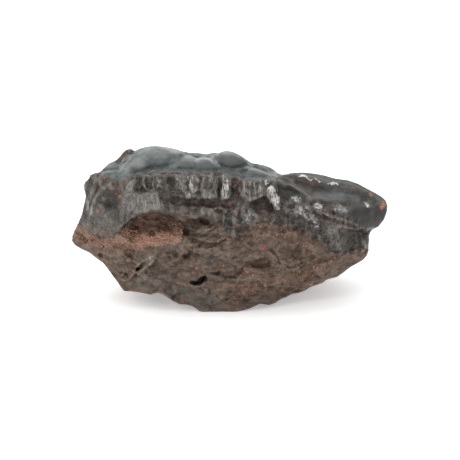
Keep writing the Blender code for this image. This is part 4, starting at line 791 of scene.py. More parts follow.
# The pinkish granular floor of the alcove and the band that runs on to the left tip
FLOOR_ZONES = [
    ([(-30.4, 24.0), (-27.0, 26.0), (-24.0, 25.8), (-20.0, 27.4), (-16.6, 28.4), (-14.9, 28.4),
      (-14.5, 24.4), (-16.5, 22.4), (-20.6, 21.5), (-24.7, 21.3), (-27.5, 20.6), (-31.0, 20.6)], 1.0, 0.8),
    ([(-34.4, 24.6), (-33.0, 27.0), (-30.5, 28.8), (-28.6, 28.2), (-27.4, 26.0), (-30.0, 24.0)], 0.8, 1.4),
    ([(-50.4, 27.2), (-47.4, 27.0), (-45.0, 25.0), (-38.0, 23.2), (-34.6, 24.6), (-32.0, 25.6), (-29.0, 24.0),
      (-30.0, 20.6), (-35.0, 19.6), (-40.0, 20.6), (-46.0, 21.8), (-49.6, 22.6)], 0.4, 1.8),
    ([(11.0, 12.0), (18.0, 13.6), (28.0, 17.2), (31.0, 15.4), (26.0, 10.4), (15.0, 7.6)], 0.16, 2.4),
    ([(-1.0, 9.0), (6.0, 10.4), (11.4, 9.6), (12.0, 7.0), (4.0, 5.6)], 0.14, 2.0),
    ([(9.0, 28.4), (15.0, 27.6), (22.0, 24.8), (27.6, 20.4), (24.6, 19.6), (16.0, 23.6), (8.0, 25.0)],
     0.12, 2.4),
]
# Layers that show in the second bowl: its loop, the arcs' middle, their spacing and height
BOWL_LAYERS = ([(-14.6, 28.8), (-12.5, 29.9), (-9.5, 30.0), (-4.0, 28.6), (-2.6, 25.6), (-5.0, 22.8),
                (-9.0, 22.6), (-14.6, 24.2)], (-9.6, 31.6), 1.5, 0.11)
# The brown druse deep in the alcove and the smooth brown hollows
UMBER_ZONES = [
    ([(-33.6, 27.0), (-31.0, 29.0), (-27.5, 30.8), (-22.0, 31.2), (-17.0, 29.8), (-15.0, 28.4),
      (-18.0, 26.8), (-24.0, 25.4), (-28.6, 26.0), (-31.0, 27.4)], 1.0, 0.8),
    ([(-15.0, 28.8), (-12.5, 29.9), (-9.5, 30.0), (-5.6, 28.6), (-4.2, 27.4), (-7.3, 26.0), (-10.1, 24.8),
      (-14.8, 24.2)], 1.0, 0.9),
    ([(-33.5, 18.6), (-29.0, 19.6), (-25.6, 18.0), (-26.6, 13.6), (-30.0, 10.6), (-34.0, 12.0)], 0.4, 2.6),
    ([(-26.0, 20.4), (-20.0, 21.0), (-18.0, 19.0), (-22.0, 17.4), (-26.0, 18.0)], 0.3, 2.0),
    ([(14.8, 20.4), (17.6, 21.4), (21.0, 21.6), (23.6, 20.2), (23.8, 17.4), (21.6, 15.8), (18.6, 15.0),
      (16.0, 16.2)], 1.0, 1.4),
    ([(18.6, 12.4), (22.0, 14.4), (26.6, 14.0), (27.6, 11.6), (22.0, 9.6)], 0.6, 1.6),
    ([(5.6, 16.4), (9.6, 18.4), (13.2, 17.4), (13.0, 14.6), (9.6, 13.6), (6.2, 14.2)], 1.0, 1.2),
    ([(-9.5, 24.8), (-3.6, 24.6), (-4.4, 22.0), (-8.6, 22.0)], 0.5, 0.8),
    ([(-17.8, 19.8), (-12.4, 20.2), (-11.0, 17.0), (-14.0, 15.6), (-18.0, 17.4)], 0.5, 1.4),
]
# Brown stains on the crust
STAIN_ZONES = [
    ([(-21.0, 37.2), (-15.0, 36.0), (-1.0, 35.6), (1.4, 34.6), (0.0, 33.2), (-15.0, 33.8), (-21.0, 35.4)],
     0.45, 1.0),
    ([(5.6, 34.6), (8.5, 35.7), (10.8, 36.8), (12.1, 35.2), (13.8, 32.2), (14.4, 29.6), (9.4, 29.2),
      (7.4, 32.0)], 0.4, 1.6),
    (KNOB, 0.25, 0.8),
    ([(0.6, 42.9), (3.3, 42.2), (3.4, 37.7), (2.2, 35.0), (0.3, 35.6)], 0.45, 1.2),
    ([(19.4, 42.0), (22.0, 43.0), (27.6, 41.4), (28.6, 39.4), (26.0, 37.4), (21.8, 39.0)], 0.4, 1.6),
    ([(-44.5, 43.6), (-39.5, 43.9), (-36.0, 42.6), (-36.6, 40.6), (-42.0, 39.0)], 0.45, 1.6),
    ([(-49.0, 27.6), (-45.6, 28.2), (-42.0, 26.8), (-36.0, 25.6), (-35.0, 23.4), (-43.0, 23.0),
      (-48.6, 24.4)], 0.6, 2.2),
    ([(-38.6, 40.2), (-34.0, 42.0), (-32.8, 40.0), (-34.0, 35.6), (-38.6, 36.0)], 0.5, 1.6),
    ([(37.0, 41.4), (43.0, 38.6), (41.8, 37.2), (36.4, 39.8)], 0.4, 1.0),
    ([(27.0, 33.6), (33.0, 34.4), (31.0, 30.8), (27.6, 31.2)], 0.45, 1.2),
    ([(-8.4, 42.2), (-6.0, 43.2), (-6.2, 40.4), (-8.0, 39.4)], 0.35, 0.8),
    ([(26.0, 31.4), (32.0, 30.4), (39.0, 27.4), (36.0, 26.6), (29.0, 28.8)], 0.5, 1.2),
    ([(-18.4, 33.4), (-12.0, 33.0), (-2.0, 32.4), (-3.0, 30.0), (-12.0, 30.2), (-18.0, 30.8)], 0.4, 1.4),
]
# Pale lips of the matrix, where it broke in thin layers, with a painted highlight, in the same terms
LIPS = [
    ([(-31.5, 11.4), (-29.8, 13.0), (-27.5, 13.7), (-25.6, 15.0), (-24.1, 16.8)], 0.32, 0.6),
    ([(-30.9, 12.2), (-29.8, 14.5), (-27.9, 16.2), (-25.2, 17.5), (-24.1, 18.1)], 0.3, 0.7),
    ([(-13.8, 27.6), (-11.9, 26.3), (-9.6, 25.8), (-7.0, 26.6), (-5.1, 28.0)], 0.3, 0.4),
    ([(-12.7, 28.4), (-10.4, 27.2), (-8.1, 27.3), (-5.8, 28.4)], 0.28, 0.2),
    ([(-10.0, 23.4), (-7.4, 22.7), (-4.3, 22.9), (-2.2, 23.8)], 0.35, 0.4),
    ([(12.6, 18.9), (14.2, 17.6), (15.2, 15.6), (18.9, 13.7), (22.0, 14.4)], 0.35, 0.35),
    ([(-1.0, 10.9), (1.9, 10.4), (3.6, 12.2)], 0.3, 0.35),
]
# Painted shade in the folds and cracks of the matrix, darker than what lies round them, in the same terms
CRACK_SHADE_LINES = [
    ([(-14.2, 24.9), (-11.9, 24.7), (-9.3, 24.9), (-7.0, 25.8), (-5.1, 26.8)], 0.35, 0.8),
    ([(-12.3, 24.0), (-10.0, 22.6), (-7.4, 21.8), (-4.3, 22.0), (-1.7, 23.2)], 0.35, 0.8),
    ([(-14.9, 28.6), (-14.5, 27.0), (-14.6, 25.4)], 0.5, 0.8), ([(-13.6, 24.9), (-11.8, 24.6)], 0.5, 0.8),
    ([(-21.6, 18.4), (-18.4, 18.9), (-15.6, 17.2), (-16.6, 15.8)], 0.6, 0.5),
    ([(-30.8, 20.2), (-26.0, 19.0), (-21.0, 18.9)], 0.5, 0.35),
    ([(0.6, 17.0), (4.6, 19.2), (9.0, 19.8), (12.6, 19.4)], 0.5, 0.45),
    ([(2.0, 9.0), (6.0, 9.6), (9.6, 8.6), (13.0, 8.4)], 0.5, 0.4),
    ([(15.0, 12.6), (20.0, 13.2), (26.0, 15.6)], 0.5, 0.4),
    ([(-17.6, 12.4), (-14.0, 13.2), (-9.0, 14.2), (-4.0, 14.0)], 0.5, 0.4),
    ([(13.3, 19.6), (14.7, 18.4), (15.2, 17.0)], 0.5, 0.45),
    ([(15.3, 16.5), (16.3, 15.3), (18.9, 14.3), (20.9, 14.9), (22.8, 15.8)], 0.35, 0.6),
    ([(24.0, 20.6), (24.4, 18.6), (23.4, 16.6)], 0.35, 0.3),
    ([(2.3, 11.4), (3.6, 13.4), (4.4, 15.2), (6.6, 17.4)], 0.35, 0.4),
    ([(18.4, 6.8), (20.4, 7.8), (23.6, 8.2)], 0.35, 0.7),
]
# Rust-red and rose-red spots: (u, v, half width, half height, turn in degrees)
RUST_SPOTS = [
    (48.4, 34.0, 0.9, 1.5, -8.0), (44.6, 37.3, 0.6, 0.4, 0.0), (-41.8, 32.3, 0.4, 0.7, 10.0),
    (-35.9, 37.7, 0.3, 0.25, 0.0), (-32.4, 41.6, 0.16, 0.16, 0.0), (-37.9, 39.3, 0.16, 0.12, 0.0),
    (-39.6, 42.7, 0.14, 0.18, 0.0), (1.5, 32.1, 0.35, 0.35, 0.0), (1.6, 40.2, 0.3, 0.3, 0.0),
    (5.4, 13.0, 0.6, 0.4, 0.0), (16.6, 7.0, 0.5, 0.3, 10.0), (25.6, 8.9, 1.0, 0.4, 18.0),
    (27.4, 17.0, 0.5, 0.4, 0.0), (2.2, 28.0, 0.4, 0.3, 0.0), (-34.7, 36.7, 0.5, 0.55, -30.0),
    (42.4, 19.6, 0.7, 0.4, 60.0), (9.6, 27.4, 0.5, 0.4, 0.0), (-2.2, 23.6, 0.4, 0.3, 0.0),
    (21.0, 30.6, 0.3, 0.3, 0.0), (-20.8, 29.0, 0.3, 0.2, 0.0), (-4.2, 13.5, 0.4, 0.25, 0.0),
    (10.0, 12.5, 0.55, 0.4, 0.0), (11.2, 8.7, 0.4, 0.3, 0.0), (8.4, 8.7, 0.3, 0.2, 0.0),
    (1.2, 8.4, 0.3, 0.2, 0.0),
    (25.8, 21.2, 0.3, 0.3, 0.0), (32.0, 16.3, 0.5, 0.35, 20.0), (-2.3, 15.4, 0.25, 0.3, 0.0),
    (-10.7, 14.5, 0.25, 0.35, -20.0), (-0.5, 23.3, 0.4, 0.25, 0.0), (-34.0, 17.2, 0.25, 0.2, 0.0),
]
ROSE_SPOTS = [
    (0.2, 34.0, 0.3, 0.8, 35.0), (0.8, 33.1, 0.3, 0.4, 20.0), (10.6, 20.8, 0.7, 0.8, 0.0),
    (-20.4, 43.9, 0.8, 0.25, 0.0), (-8.4, 14.6, 0.3, 0.3, 0.0), (-15.1, 3.6, 0.6, 0.25, -10.0),
    (1.6, 4.7, 0.5, 0.22, 0.0),
]
# The pale crests of the domes, a painted highlight with a glossy coat, in the same terms as the bright lines
PALE_CRESTS = [
    ([(-22.6, 52.7), (-19.7, 52.0), (-17.2, 51.3), (-14.7, 50.5)], 0.9, 0.9),
    ([(-6.6, 48.6), (-5.4, 49.6), (-3.8, 50.6)], 0.7, 0.6),
    ([(4.6, 48.8), (6.0, 47.6), (7.2, 46.6)], 0.5, 0.6),
    ([(-28.6, 51.2), (-24.8, 52.4), (-22.0, 52.4)], 0.8, 0.3),
    ([(-29.9, 51.6), (-31.6, 49.2), (-33.3, 46.8), (-34.9, 44.6)], 0.6, 0.4),
    ([(-27.0, 49.4), (-29.6, 48.6), (-31.8, 46.8), (-33.0, 45.0)], 0.7, 0.35),
    ([(-14.4, 50.0), (-12.6, 49.6), (-11.0, 48.6)], 0.7, 0.6),
    ([(-10.9, 48.3), (-9.6, 48.9), (-8.2, 49.0), (-6.4, 48.4), (-4.4, 47.1), (-3.4, 46.2)], 0.7, 0.85),
    ([(-12.4, 50.7), (-9.9, 50.3), (-7.7, 49.9), (-5.7, 50.1)], 0.5, 0.35),
    ([(-3.6, 50.6), (-1.2, 50.8), (1.6, 50.5), (4.0, 49.2), (6.0, 47.7)], 0.6, 0.35),
    ([(5.6, 45.8), (8.5, 45.3), (12.0, 44.2), (14.6, 43.4)], 0.6, 0.7),
    ([(6.9, 46.9), (10.2, 46.3), (13.2, 44.8), (15.0, 43.7)], 0.6, 0.5),
    ([(-40.4, 45.6), (-37.7, 46.4), (-35.6, 46.2)], 0.6, 0.4),
    ([(-38.6, 44.4), (-36.6, 44.9), (-35.2, 45.0)], 0.5, 0.3),
]
# Painted shade on the fronts of the domes and along the skin's lower edge, where it is also rougher and
# duller
SHADE_ZONES = [
    ([(-4.6, 49.4), (-2.4, 50.0), (1.0, 50.0), (4.0, 48.6), (6.6, 47.4), (4.8, 46.6), (1.8, 46.0),
      (-1.8, 46.2), (-3.4, 47.0)], 1.0, 1.8),
    ([(-22.0, 49.6), (-18.0, 50.4), (-15.2, 49.8), (-16.4, 48.4), (-18.5, 46.9), (-21.4, 46.1), (-25.6, 45.7),
      (-27.5, 46.4)], 0.35, 4.0),
    ([(-16.6, 48.2), (-11.8, 48.0), (-11.4, 45.4), (-17.4, 45.4)], 0.85, 1.8),
    ([(-10.6, 47.8), (-6.0, 48.0), (-3.4, 46.4), (-3.0, 45.4), (-11.0, 45.4)], 1.0, 1.6),
    ([(7.6, 45.0), (10.4, 44.8), (13.4, 43.6), (8.6, 42.8), (6.0, 43.2)], 0.4, 1.6),
    ([(-31.4, 45.8), (-26.0, 46.2), (-21.0, 45.4), (-22.0, 44.2), (-30.0, 43.8)], 0.6, 1.2),
    ([(7.4, 46.5), (10.0, 46.2), (12.6, 45.2), (8.4, 45.8)], 0.5, 0.9),
]

# How the finish's marks lie: the softness of the smooth places' ends, how far glints reach in half
# widths, how far the crust's lower edge wanders in coarse and fine patches, its lift and its softness,
# and how far every zone wanders
ZONE_SOFT = 1.2
GLINT_REACH = 6.0
EDGE_WANDER = (1.2, 0.6)
EDGE_LIFT = 0.4
EDGE_SOFT = 2.2
ZONE_WANDER = 0.5

# The second hollow's layers waver by this much, and smooth places keep this share of the finest relief
LAYER_WAVER = 1.1
LEAST_FINE = 0.25

# The pale crests' painted highlight in their colour, the rest being coat, and the finest bumps' height
PALE_COLOUR = 0.2
BUMP_HEIGHT = 0.6

# Tones of the small grains, from dark to bright, and how far they lean over
PINK_GRAIN = (0.38, (0.09, 0.036, 0.023)), (0.5, (0.27, 0.138, 0.092)), (0.62, (0.60, 0.365, 0.25))
BROWN_GRAIN = (0.36, (0.036, 0.020, 0.013)), (0.5, (0.105, 0.058, 0.038)), (0.66, (0.27, 0.155, 0.10))
BRIGHT_CHIP = (0.38, (0.028, 0.026, 0.024)), (0.52, (0.10, 0.097, 0.092)), (0.66, (0.34, 0.34, 0.33))
GRAIN_TILT = 0.6

# The camera looks square at the leaning face, from far away: its lens and sensor in millimetres, the place
# at the middle of the picture as (u, v, depth), and how much of the face the picture spans
CAMERA_LENS = 600.0
CAMERA_SENSOR = 36.0
PICTURE_MIDDLE = (0.0, 26.27, 8.0)
PICTURE_WIDTH = 145.6

# The floor's half width, where the lights aim, and the way to the brightest part of the light tent
FLOOR_HALF = 3.0
LIGHT_TARGET = (0.0, 0.0, 0.02)
TENT_BRIGHTEST = (-0.15, 0.62, 0.77)

# The marks that follow from the tables above, by name
SMOOTH_ZONES = [(loop, share, ZONE_SOFT) for loop, share in SMOOTH]
# sheen, glitter and blue hold painted highlights; shade and dark hold painted shade
ZONES = {
    "sheen": SHEEN, "glitter": GLITTER, "floor": FLOOR_ZONES, "umber": UMBER_ZONES, "druse": UMBER_ZONES[:1],
    "stain": STAIN_ZONES, "grey": GREY_ZONES, "blue": BLUE_ZONES, "shade": SHADE_ZONES, "dark": DARK_ZONES,
    "smooth": SMOOTH_ZONES,
}
# pale and lip hold painted highlights; the third holds painted shade in the cracks
LINES = {"pale": PALE_CRESTS, "lip": LIPS, "crack_shade": CRACK_SHADE_LINES}
SPOTS = {"rust": RUST_SPOTS, "rose": ROSE_SPOTS}


def zone(zones, u, v):
    """How strongly each point of the face lies in any of the zones."""
    cover = np.zeros(len(u))
    for loop, strength, soft in zones:
        cover = np.maximum(cover, strength * smooth_step(depth_inside(loop, u, v), -soft / 2, soft / 2))
    return cover


def lines(paths, u, v):
    """How strongly each point of the face lies on any of the narrow paths."""
    cover = np.zeros(len(u))
    for path, half_width, strength in paths:
        beside = smooth_step(-distance_to_path(path, u, v), -half_width, -0.2 * half_width)
        cover = np.maximum(cover, strength * beside)
    return cover


def nearness(paths, u, v):
    """1 on each path, falling evenly to 0 at GLINT_REACH half widths from it."""
    reach = np.full(len(u), 1.0)
    for path, half_width in paths:
        reach = np.minimum(reach, distance_to_path(path, u, v) / (GLINT_REACH * half_width))
    return 1.0 - reach


def spots(ovals, u, v):
    """1 on the spots, softly ended."""
    cover = np.zeros(len(u))
    for oval in ovals:
        cover = np.maximum(cover, smooth_step(-oval_reach(u, v, oval), -1.3, -0.7))
    return cover


def weather(stone):
    """The finest relief: fibres and chips in the crust, grain and thin layers in the matrix."""
    points, normals = read_surface(stone)
    u, v = face_place(points)
    cover = break_cover(points, normals)
    crust = smooth_step(v - line_height(CRUST_EDGE, u), -0.6, 0.6)
    smooth = zone(SMOOTH_ZONES + [(loop, 1.0, ZONE_SOFT) for loop, _, _ in GLITTER], u, v)
    fibrous = sum(fractal(points * scale, 1.0, 3) * height for scale, height in FIBRES) * (1.0 - smooth)
    grainy = fractal(points, GRAIN[0], 3) * GRAIN[1]
    chipped = flakes(points, CHIPS[0], CHIP_SEED) * CHIPS[1]
    loop, middle, spacing, height = BOWL_LAYERS
    reach = np.hypot(u - middle[0], v - middle[1]) + LAYER_WAVER * fractal(points, 0.25, 3)
    within = smooth_step(depth_inside(loop, u, v), 0.0, 1.0)
    layered = height * np.sin(reach * 2.0 * math.pi / spacing) * within
    fine = crust * (fibrous + zone(GLITTER, u, v) * chipped) + (1.0 - crust) * grainy + layered
    fine = fine * (LEAST_FINE + (1.0 - LEAST_FINE) * cover) * (1.0 - skin_cover(points, normals))
    write_surface(stone, points + fine[:, None] * normals)


def hollows_of(stone, *rounds):
    """How far each point lies below its near and its wider surroundings, in millimetres."""
    points, normals = read_surface(stone)
    depths = []
    for count in rounds:
        wider = neighbour_mean(stone, points, count)
        depths.append(np.sum((wider - points) * normals, axis=1))
        points = wider
    return depths


def mark(stone, name, values):
    """Keeps a value at each point for the finish to read."""
    layer = stone.data.attributes.new(name, "FLOAT", "POINT")
    layer.data.foreach_set("value", values.astype(np.float32))


def read_mark(stone, name):
    values = np.empty(len(stone.data.vertices), np.float32)
    stone.data.attributes[name].data.foreach_get("value", values)
    return values


def mark_zones(stone):
    """Writes where each finish lies, with its painted shade and highlights."""
    points, normals = read_surface(stone)
    u, v = face_place(points)
    skin = skin_cover(points, normals)
    front = in_sight(points, normals)
    ragged = fractal(points, 0.35, 3)
    fringe = EDGE_WANDER[0] * ragged + EDGE_WANDER[1] * fractal(points, 1.3, 2)
    crust = smooth_step(v - line_height(CRUST_EDGE, u) + EDGE_LIFT + fringe, -EDGE_SOFT, EDGE_SOFT)
    u, v = u + ZONE_WANDER * fractal(points + 40.0, 0.5, 3), v + ZONE_WANDER * ragged
    seen_marks = {name: zone(zones, u, v) for name, zones in ZONES.items()}
    seen_marks |= {name: lines(paths, u, v) for name, paths in LINES.items()}
    seen_marks |= {name: spots(ovals, u, v) for name, ovals in SPOTS.items()}
    seen_marks["glint"] = nearness(GLINTS, u, v)
    # The bright lines' painted highlights join the sheen, and the dark lines' painted shade joins the dark
    seen_marks["sheen"] = np.maximum(seen_marks["sheen"], lines(BRIGHT_LINES, u, v))
    seen_marks["dark"] = np.maximum(seen_marks["dark"], lines(DARK_LINES, u, v))
    for name, values in seen_marks.items():
        mark(stone, name, front * values)
    mark(stone, "skin", skin)
    mark(stone, "crust", crust * (1.0 - front * zone(BARE_ZONES, u, v)))
    mark(stone, "rusty", np.maximum(1.0 - front, zone(RUSTY_ZONES, u, v)))
    # Painted shade in the hollows (crevice, fold) and painted highlights on the rises (edge, crest)
    near, far, farthest = hollows_of(stone, 16, 60, 320)
    wide = skin * far + (1.0 - skin) * farthest
    deep = 0.4 + 0.5 * (1.0 - skin)
    for name, depth, low, high in (("crevice", near, 0.03, 0.34), ("edge", -near, 0.03, 0.3),
                                   ("fold", wide, 0.0, deep), ("crest", -wide, 0.0, deep)):
        mark(stone, name, smooth_step(depth, low, high))


def settle(stone):
    """Centres the stone over the origin, on flat feet at z 0."""
    points, _ = read_surface(stone)
    points -= MIDDLE
    points[:, 2] = np.maximum(points[:, 2], 0.0)
    write_surface(stone, points)


def fill(tree, socket, value):
    """Links a socket or sets its value."""
    if isinstance(value, bpy.types.NodeSocket):
        tree.links.new(value, socket)
    else:
        socket.default_value = value


def add(tree, kind, settings=None, **inputs):
    """Adds a node. An input that is a socket is linked, and any other value is set."""
    made = tree.nodes.new(kind)
    for name, value in (settings or {}).items():
        setattr(made, name, value)
    for name, value in inputs.items():
        fill(tree, made.inputs[name.replace("_", " ")], value)
    return made


def mix_colour(tree, share, low, high):
    """From low to high by the share. Each is a socket or (red, green, blue)."""
    made = add(tree, "ShaderNodeMix", {"data_type": "RGBA"})
    fill(tree, made.inputs[0], share)
    for index, tone in ((6, low), (7, high)):
        fill(tree, made.inputs[index], tone if isinstance(tone, bpy.types.NodeSocket) else (*tone, 1.0))
    return made.outputs[2]


def lay_over(tree, colour, *layers):
    """The colour with each layer over it in turn: (share, tone)."""
    for share, tone in layers:
        colour = mix_colour(tree, share, colour, tone)
    return colour


def mix_value(tree, share, low, high):
    made = tree.nodes.new("ShaderNodeMix")
    for index, value in ((0, share), (2, low), (3, high)):
        fill(tree, made.inputs[index], value)
    return made.outputs[0]


def reckon(tree, operation, *values):
    """The result of a Math node."""
    made = add(tree, "ShaderNodeMath", {"operation": operation})
    for socket, value in zip(made.inputs, values):
        fill(tree, socket, value)
    return made.outputs[0]


def times(tree, first, second):
    return reckon(tree, "MULTIPLY", first, second)


def plus(tree, first, *more):
    for value in more:
        first = reckon(tree, "ADD", first, value)
    return first


def rise(tree, value, low, high, to_low=0.0, to_high=1.0):
    """The value stretched so that low to high becomes to_low to to_high."""
    limits = {"From_Min": low, "From_Max": high, "To_Min": to_low, "To_Max": to_high}
    made = add(tree, "ShaderNodeMapRange", {"interpolation_type": "SMOOTHSTEP"}, Value=value, **limits)
    return made.outputs["Result"]


def place_of(tree, stretch=(1.0, 1.0, 1.0), turn=(0.0, 0.0, 0.0)):
    """Object coordinates, stretched for a pattern."""
    place = tree.nodes.new("ShaderNodeTexCoord").outputs["Object"]
    return add(tree, "ShaderNodeMapping", Vector=place, Scale=stretch, Rotation=turn).outputs["Vector"]


def patches(tree, place, size, detail=4.0, roughness=0.55, distortion=0.0):
    """Soft noise with patches about size millimetres across."""
    made = add(tree, "ShaderNodeTexNoise", Vector=place, Scale=1.0 / (size * MM), Detail=detail,
               Roughness=roughness, Distortion=distortion)
    return made.outputs["Fac"]


def cells(tree, place, size):
    """Cells about size millimetres across: how far each point is from its cell's middle, and two tones."""
    made = add(tree, "ShaderNodeTexVoronoi", Vector=place, Scale=1.0 / (size * MM))
    tones = add(tree, "ShaderNodeSeparateColor", Color=made.outputs["Color"])
    return made.outputs["Distance"], tones.outputs["Red"], tones.outputs["Green"]


def kept(tree, name):
    """A value that the mesh keeps at its points."""
    return add(tree, "ShaderNodeAttribute", {"attribute_name": name}).outputs["Fac"]


def ramp(tree, value, *stops):
    """A colour for each value, from stops of (place, colour)."""
    made = add(tree, "ShaderNodeValToRGB", Fac=value)
    band = made.color_ramp
    for index, (place, colour) in enumerate(stops):
        stop = band.elements[index] if index < 2 else band.elements.new(place)
        stop.position = place
        stop.color = (*colour, 1.0)
    return made.outputs["Color"]


COLOUR, FLOAT = "NodeSocketColor", "NodeSocketFloat"
FINISH = (("Colour", COLOUR), ("Roughness", FLOAT), ("Height", FLOAT))


def new_finish(name, *marks):
    """A shader node group that takes marks and puts out a finish, with its input sockets."""
    tree = bpy.data.node_groups.new(name, "ShaderNodeTree")
    for mark_name in marks:
        tree.interface.new_socket(mark_name, in_out="INPUT", socket_type=FLOAT)
    for socket_name, kind in FINISH:
        tree.interface.new_socket(socket_name, in_out="OUTPUT", socket_type=kind)
    return tree, tree.nodes.new("NodeGroupInput").outputs


def put_out(tree, *finish):
    """Ends a group with its colour, roughness and height."""
    out = tree.nodes.new("NodeGroupOutput")
    for socket, value in zip(out.inputs, finish):
        fill(tree, socket, value)
    return tree


def skin_finish():
    """Satin blue-grey domes, faintly mottled and specked, with painted shade in their folds and fronts
    and painted highlights on their crests and edges.
    """
    tree, given = new_finish("domed_skin", "Fold", "Crest", "Edge", "Pale", "Shade")
    place = place_of(tree)
    cloud = patches(tree, place, 9.0, 3.0)
    mottle = patches(tree, place, 1.6, 6.0, 0.6)
    speck = patches(tree, place, 0.35, 3.0)
    grain = patches(tree, place, 0.8, 5.0, 0.75)
    streak = patches(tree, place_of(tree, (0.5, 0.5, 1.6)), 1.1, 4.0, 0.6, 0.8)
    colour = ramp(tree, cloud, (0.3, (0.0135, 0.0185, 0.019)), (0.52, (0.0215, 0.030, 0.0295)),
                  (0.72, (0.034, 0.043, 0.042)))
    colour = lay_over(
        tree, colour,
        (rise(tree, mottle, 0.44, 0.66, 0.0, 0.65), (0.076, 0.097, 0.094)),
        (rise(tree, mottle, 0.5, 0.3, 0.0, 0.6), (0.013, 0.016, 0.016)),
        (rise(tree, streak, 0.52, 0.66, 0.0, 0.4), (0.125, 0.140, 0.134)),
        (rise(tree, grain, 0.5, 0.7, 0.0, 0.45), (0.11, 0.124, 0.118)),
        (rise(tree, grain, 0.5, 0.3, 0.0, 0.5), (0.010, 0.012, 0.012)),
        # Painted shade in the folds and shaded fronts, painted highlights on crests, edges and pale crests
        (times(tree, given["Fold"], 0.35), (0.014, 0.015, 0.015)),
        (times(tree, given["Crest"], 0.3), (0.09, 0.108, 0.106)),
        (times(tree, given["Shade"], 0.9), (0.014, 0.016, 0.0155)),
        (times(tree, given["Edge"], 0.3), (0.22, 0.23, 0.225)),
        (rise(tree, speck, 0.62, 0.74, 0.0, 0.5), (0.17, 0.165, 0.155)),
        (times(tree, given["Pale"], rise(tree, streak, 0.36, 0.58, 0.3, 1.0)), (0.32, 0.35, 0.34)))
    # Under the painted shade the skin is also rougher
    roughness = mix_value(tree, given["Shade"], rise(tree, streak, 0.35, 0.65, 0.50, 0.34), 0.6)
    height = times(tree, plus(tree, mottle, times(tree, streak, 0.8)), 0.2)
    return put_out(tree, colour, roughness, height)


def crust_finish():
    """Black fibrous crust with pale streaks and facets where it would catch the light, all painted
    highlights, with painted glitter, a painted blue-grey reflection and painted shade in its crevices.
    """
    tree, given = new_finish("fibrous_crust", "Sheen", "Glitter", "Smooth", "Grey", "Blue", "Crevice", "Edge",
                             "Stain")
    place = place_of(tree)
    fibres = patches(tree, place_of(tree, (1.0, 0.6, 0.16)), 0.55, 5.0, 0.62, 0.3)
    strands = patches(tree, place_of(tree, (1.0, 0.5, 0.09)), 1.3, 4.0, 0.6, 0.5)
    blotch = patches(tree, place, 3.2, 4.0, 0.6)
    grit = patches(tree, place, 0.42, 4.0, 0.7)
    _, chip_tone, _ = cells(tree, place_of(tree, (1.0, 1.0, 0.7)), 0.75)
    plain = lay_over(
        tree, ramp(tree, blotch, (0.34, (0.014, 0.0112, 0.0094)), (0.5, (0.043, 0.035, 0.029)),
                   (0.68, (0.086, 0.073, 0.063))),
        (rise(tree, grit, 0.50, 0.66, 0.0, 0.7), (0.20, 0.178, 0.155)),
        (rise(tree, grit, 0.47, 0.33, 0.0, 0.85), (0.009, 0.008, 0.007)))
    even = lay_over(
        tree, ramp(tree, blotch, (0.32, (0.024, 0.0225, 0.020)), (0.66, (0.050, 0.048, 0.045))),
        (rise(tree, grit, 0.54, 0.68, 0.0, 0.5), (0.13, 0.122, 0.112)),
        (rise(tree, grit, 0.46, 0.34, 0.0, 0.6), (0.010, 0.0095, 0.009)))
    streak = times(tree, rise(tree, fibres, 0.43, 0.60), rise(tree, strands, 0.36, 0.56))
    # The painted highlight of the pale streaks and facets
    pale = ramp(tree, streak, (0.05, (0.060, 0.052, 0.045)), (0.45, (0.245, 0.226, 0.205)),
                (0.85, (0.70, 0.68, 0.65)))
    pale = mix_colour(tree, rise(tree, chip_tone, 0.55, 0.95, 0.0, 0.6), pale, (0.64, 0.625, 0.60))
    grey = ramp(tree, grit, (0.35, (0.042, 0.037, 0.032)), (0.5, (0.112, 0.103, 0.092)),
                (0.66, (0.24, 0.224, 0.202)))
    # The painted blue-grey reflection
    blue = ramp(tree, grit, (0.35, (0.058, 0.063, 0.064)), (0.5, (0.112, 0.120, 0.123)),
                (0.66, (0.19, 0.202, 0.208)))
    brown = ramp(tree, grit, (0.3, (0.050, 0.030, 0.022)), (0.5, (0.12, 0.075, 0.055)),
                 (0.7, (0.22, 0.145, 0.11)))
    # Painted glitter: bright patches of facets
    sparkle = patches(tree, place, 1.3, 4.0, 0.65, 0.8)
    _, _, facet_tone = cells(tree, place_of(tree, (1.0, 1.0, 0.75)), 1.15)
    facet = times(tree, rise(tree, sparkle, 0.34, 0.58), rise(tree, facet_tone, 0.2, 0.8, 0.22, 1.15))
    spangle = ramp(tree, facet, (0.04, (0.040, 0.038, 0.035)), (0.35, (0.170, 0.165, 0.155)),
                   (0.85, (0.50, 0.50, 0.49)))
    matt = times(tree, given["Smooth"], reckon(tree, "SUBTRACT", 1.0, given["Sheen"]))
    colour = lay_over(
        tree, plain,
        (matt, even),
        (times(tree, given["Grey"], rise(tree, blotch, 0.25, 0.55, 0.6, 1.0)), grey),
        (times(tree, given["Blue"], rise(tree, blotch, 0.25, 0.55, 0.5, 1.0)), blue),
        (times(tree, given["Sheen"], rise(tree, blotch, 0.25, 0.55, 0.6, 1.1)), pale),
        (times(tree, given["Glitter"], rise(tree, blotch, 0.36, 0.56, 0.25, 1.25)), spangle),
        (times(tree, given["Stain"], rise(tree, blotch, 0.2, 0.6, 0.4, 1.0)), brown),
        # Painted highlight on the edges and painted shade in the crevices
        (times(tree, given["Edge"], 0.35), (0.27, 0.25, 0.225)),
        (times(tree, given["Crevice"], 0.65), (0.008, 0.007, 0.0065)))
    roughness = mix_value(tree, matt, rise(tree, grit, 0.35, 0.7, 0.30, 0.55), 0.38)
    height = plus(tree, times(tree, fibres, 0.36), times(tree, chip_tone, 0.14), times(tree, grit, 0.18))
    height = mix_value(tree, times(tree, matt, 0.85), height, times(tree, blotch, 0.1))
    return put_out(tree, colour, roughness, height)


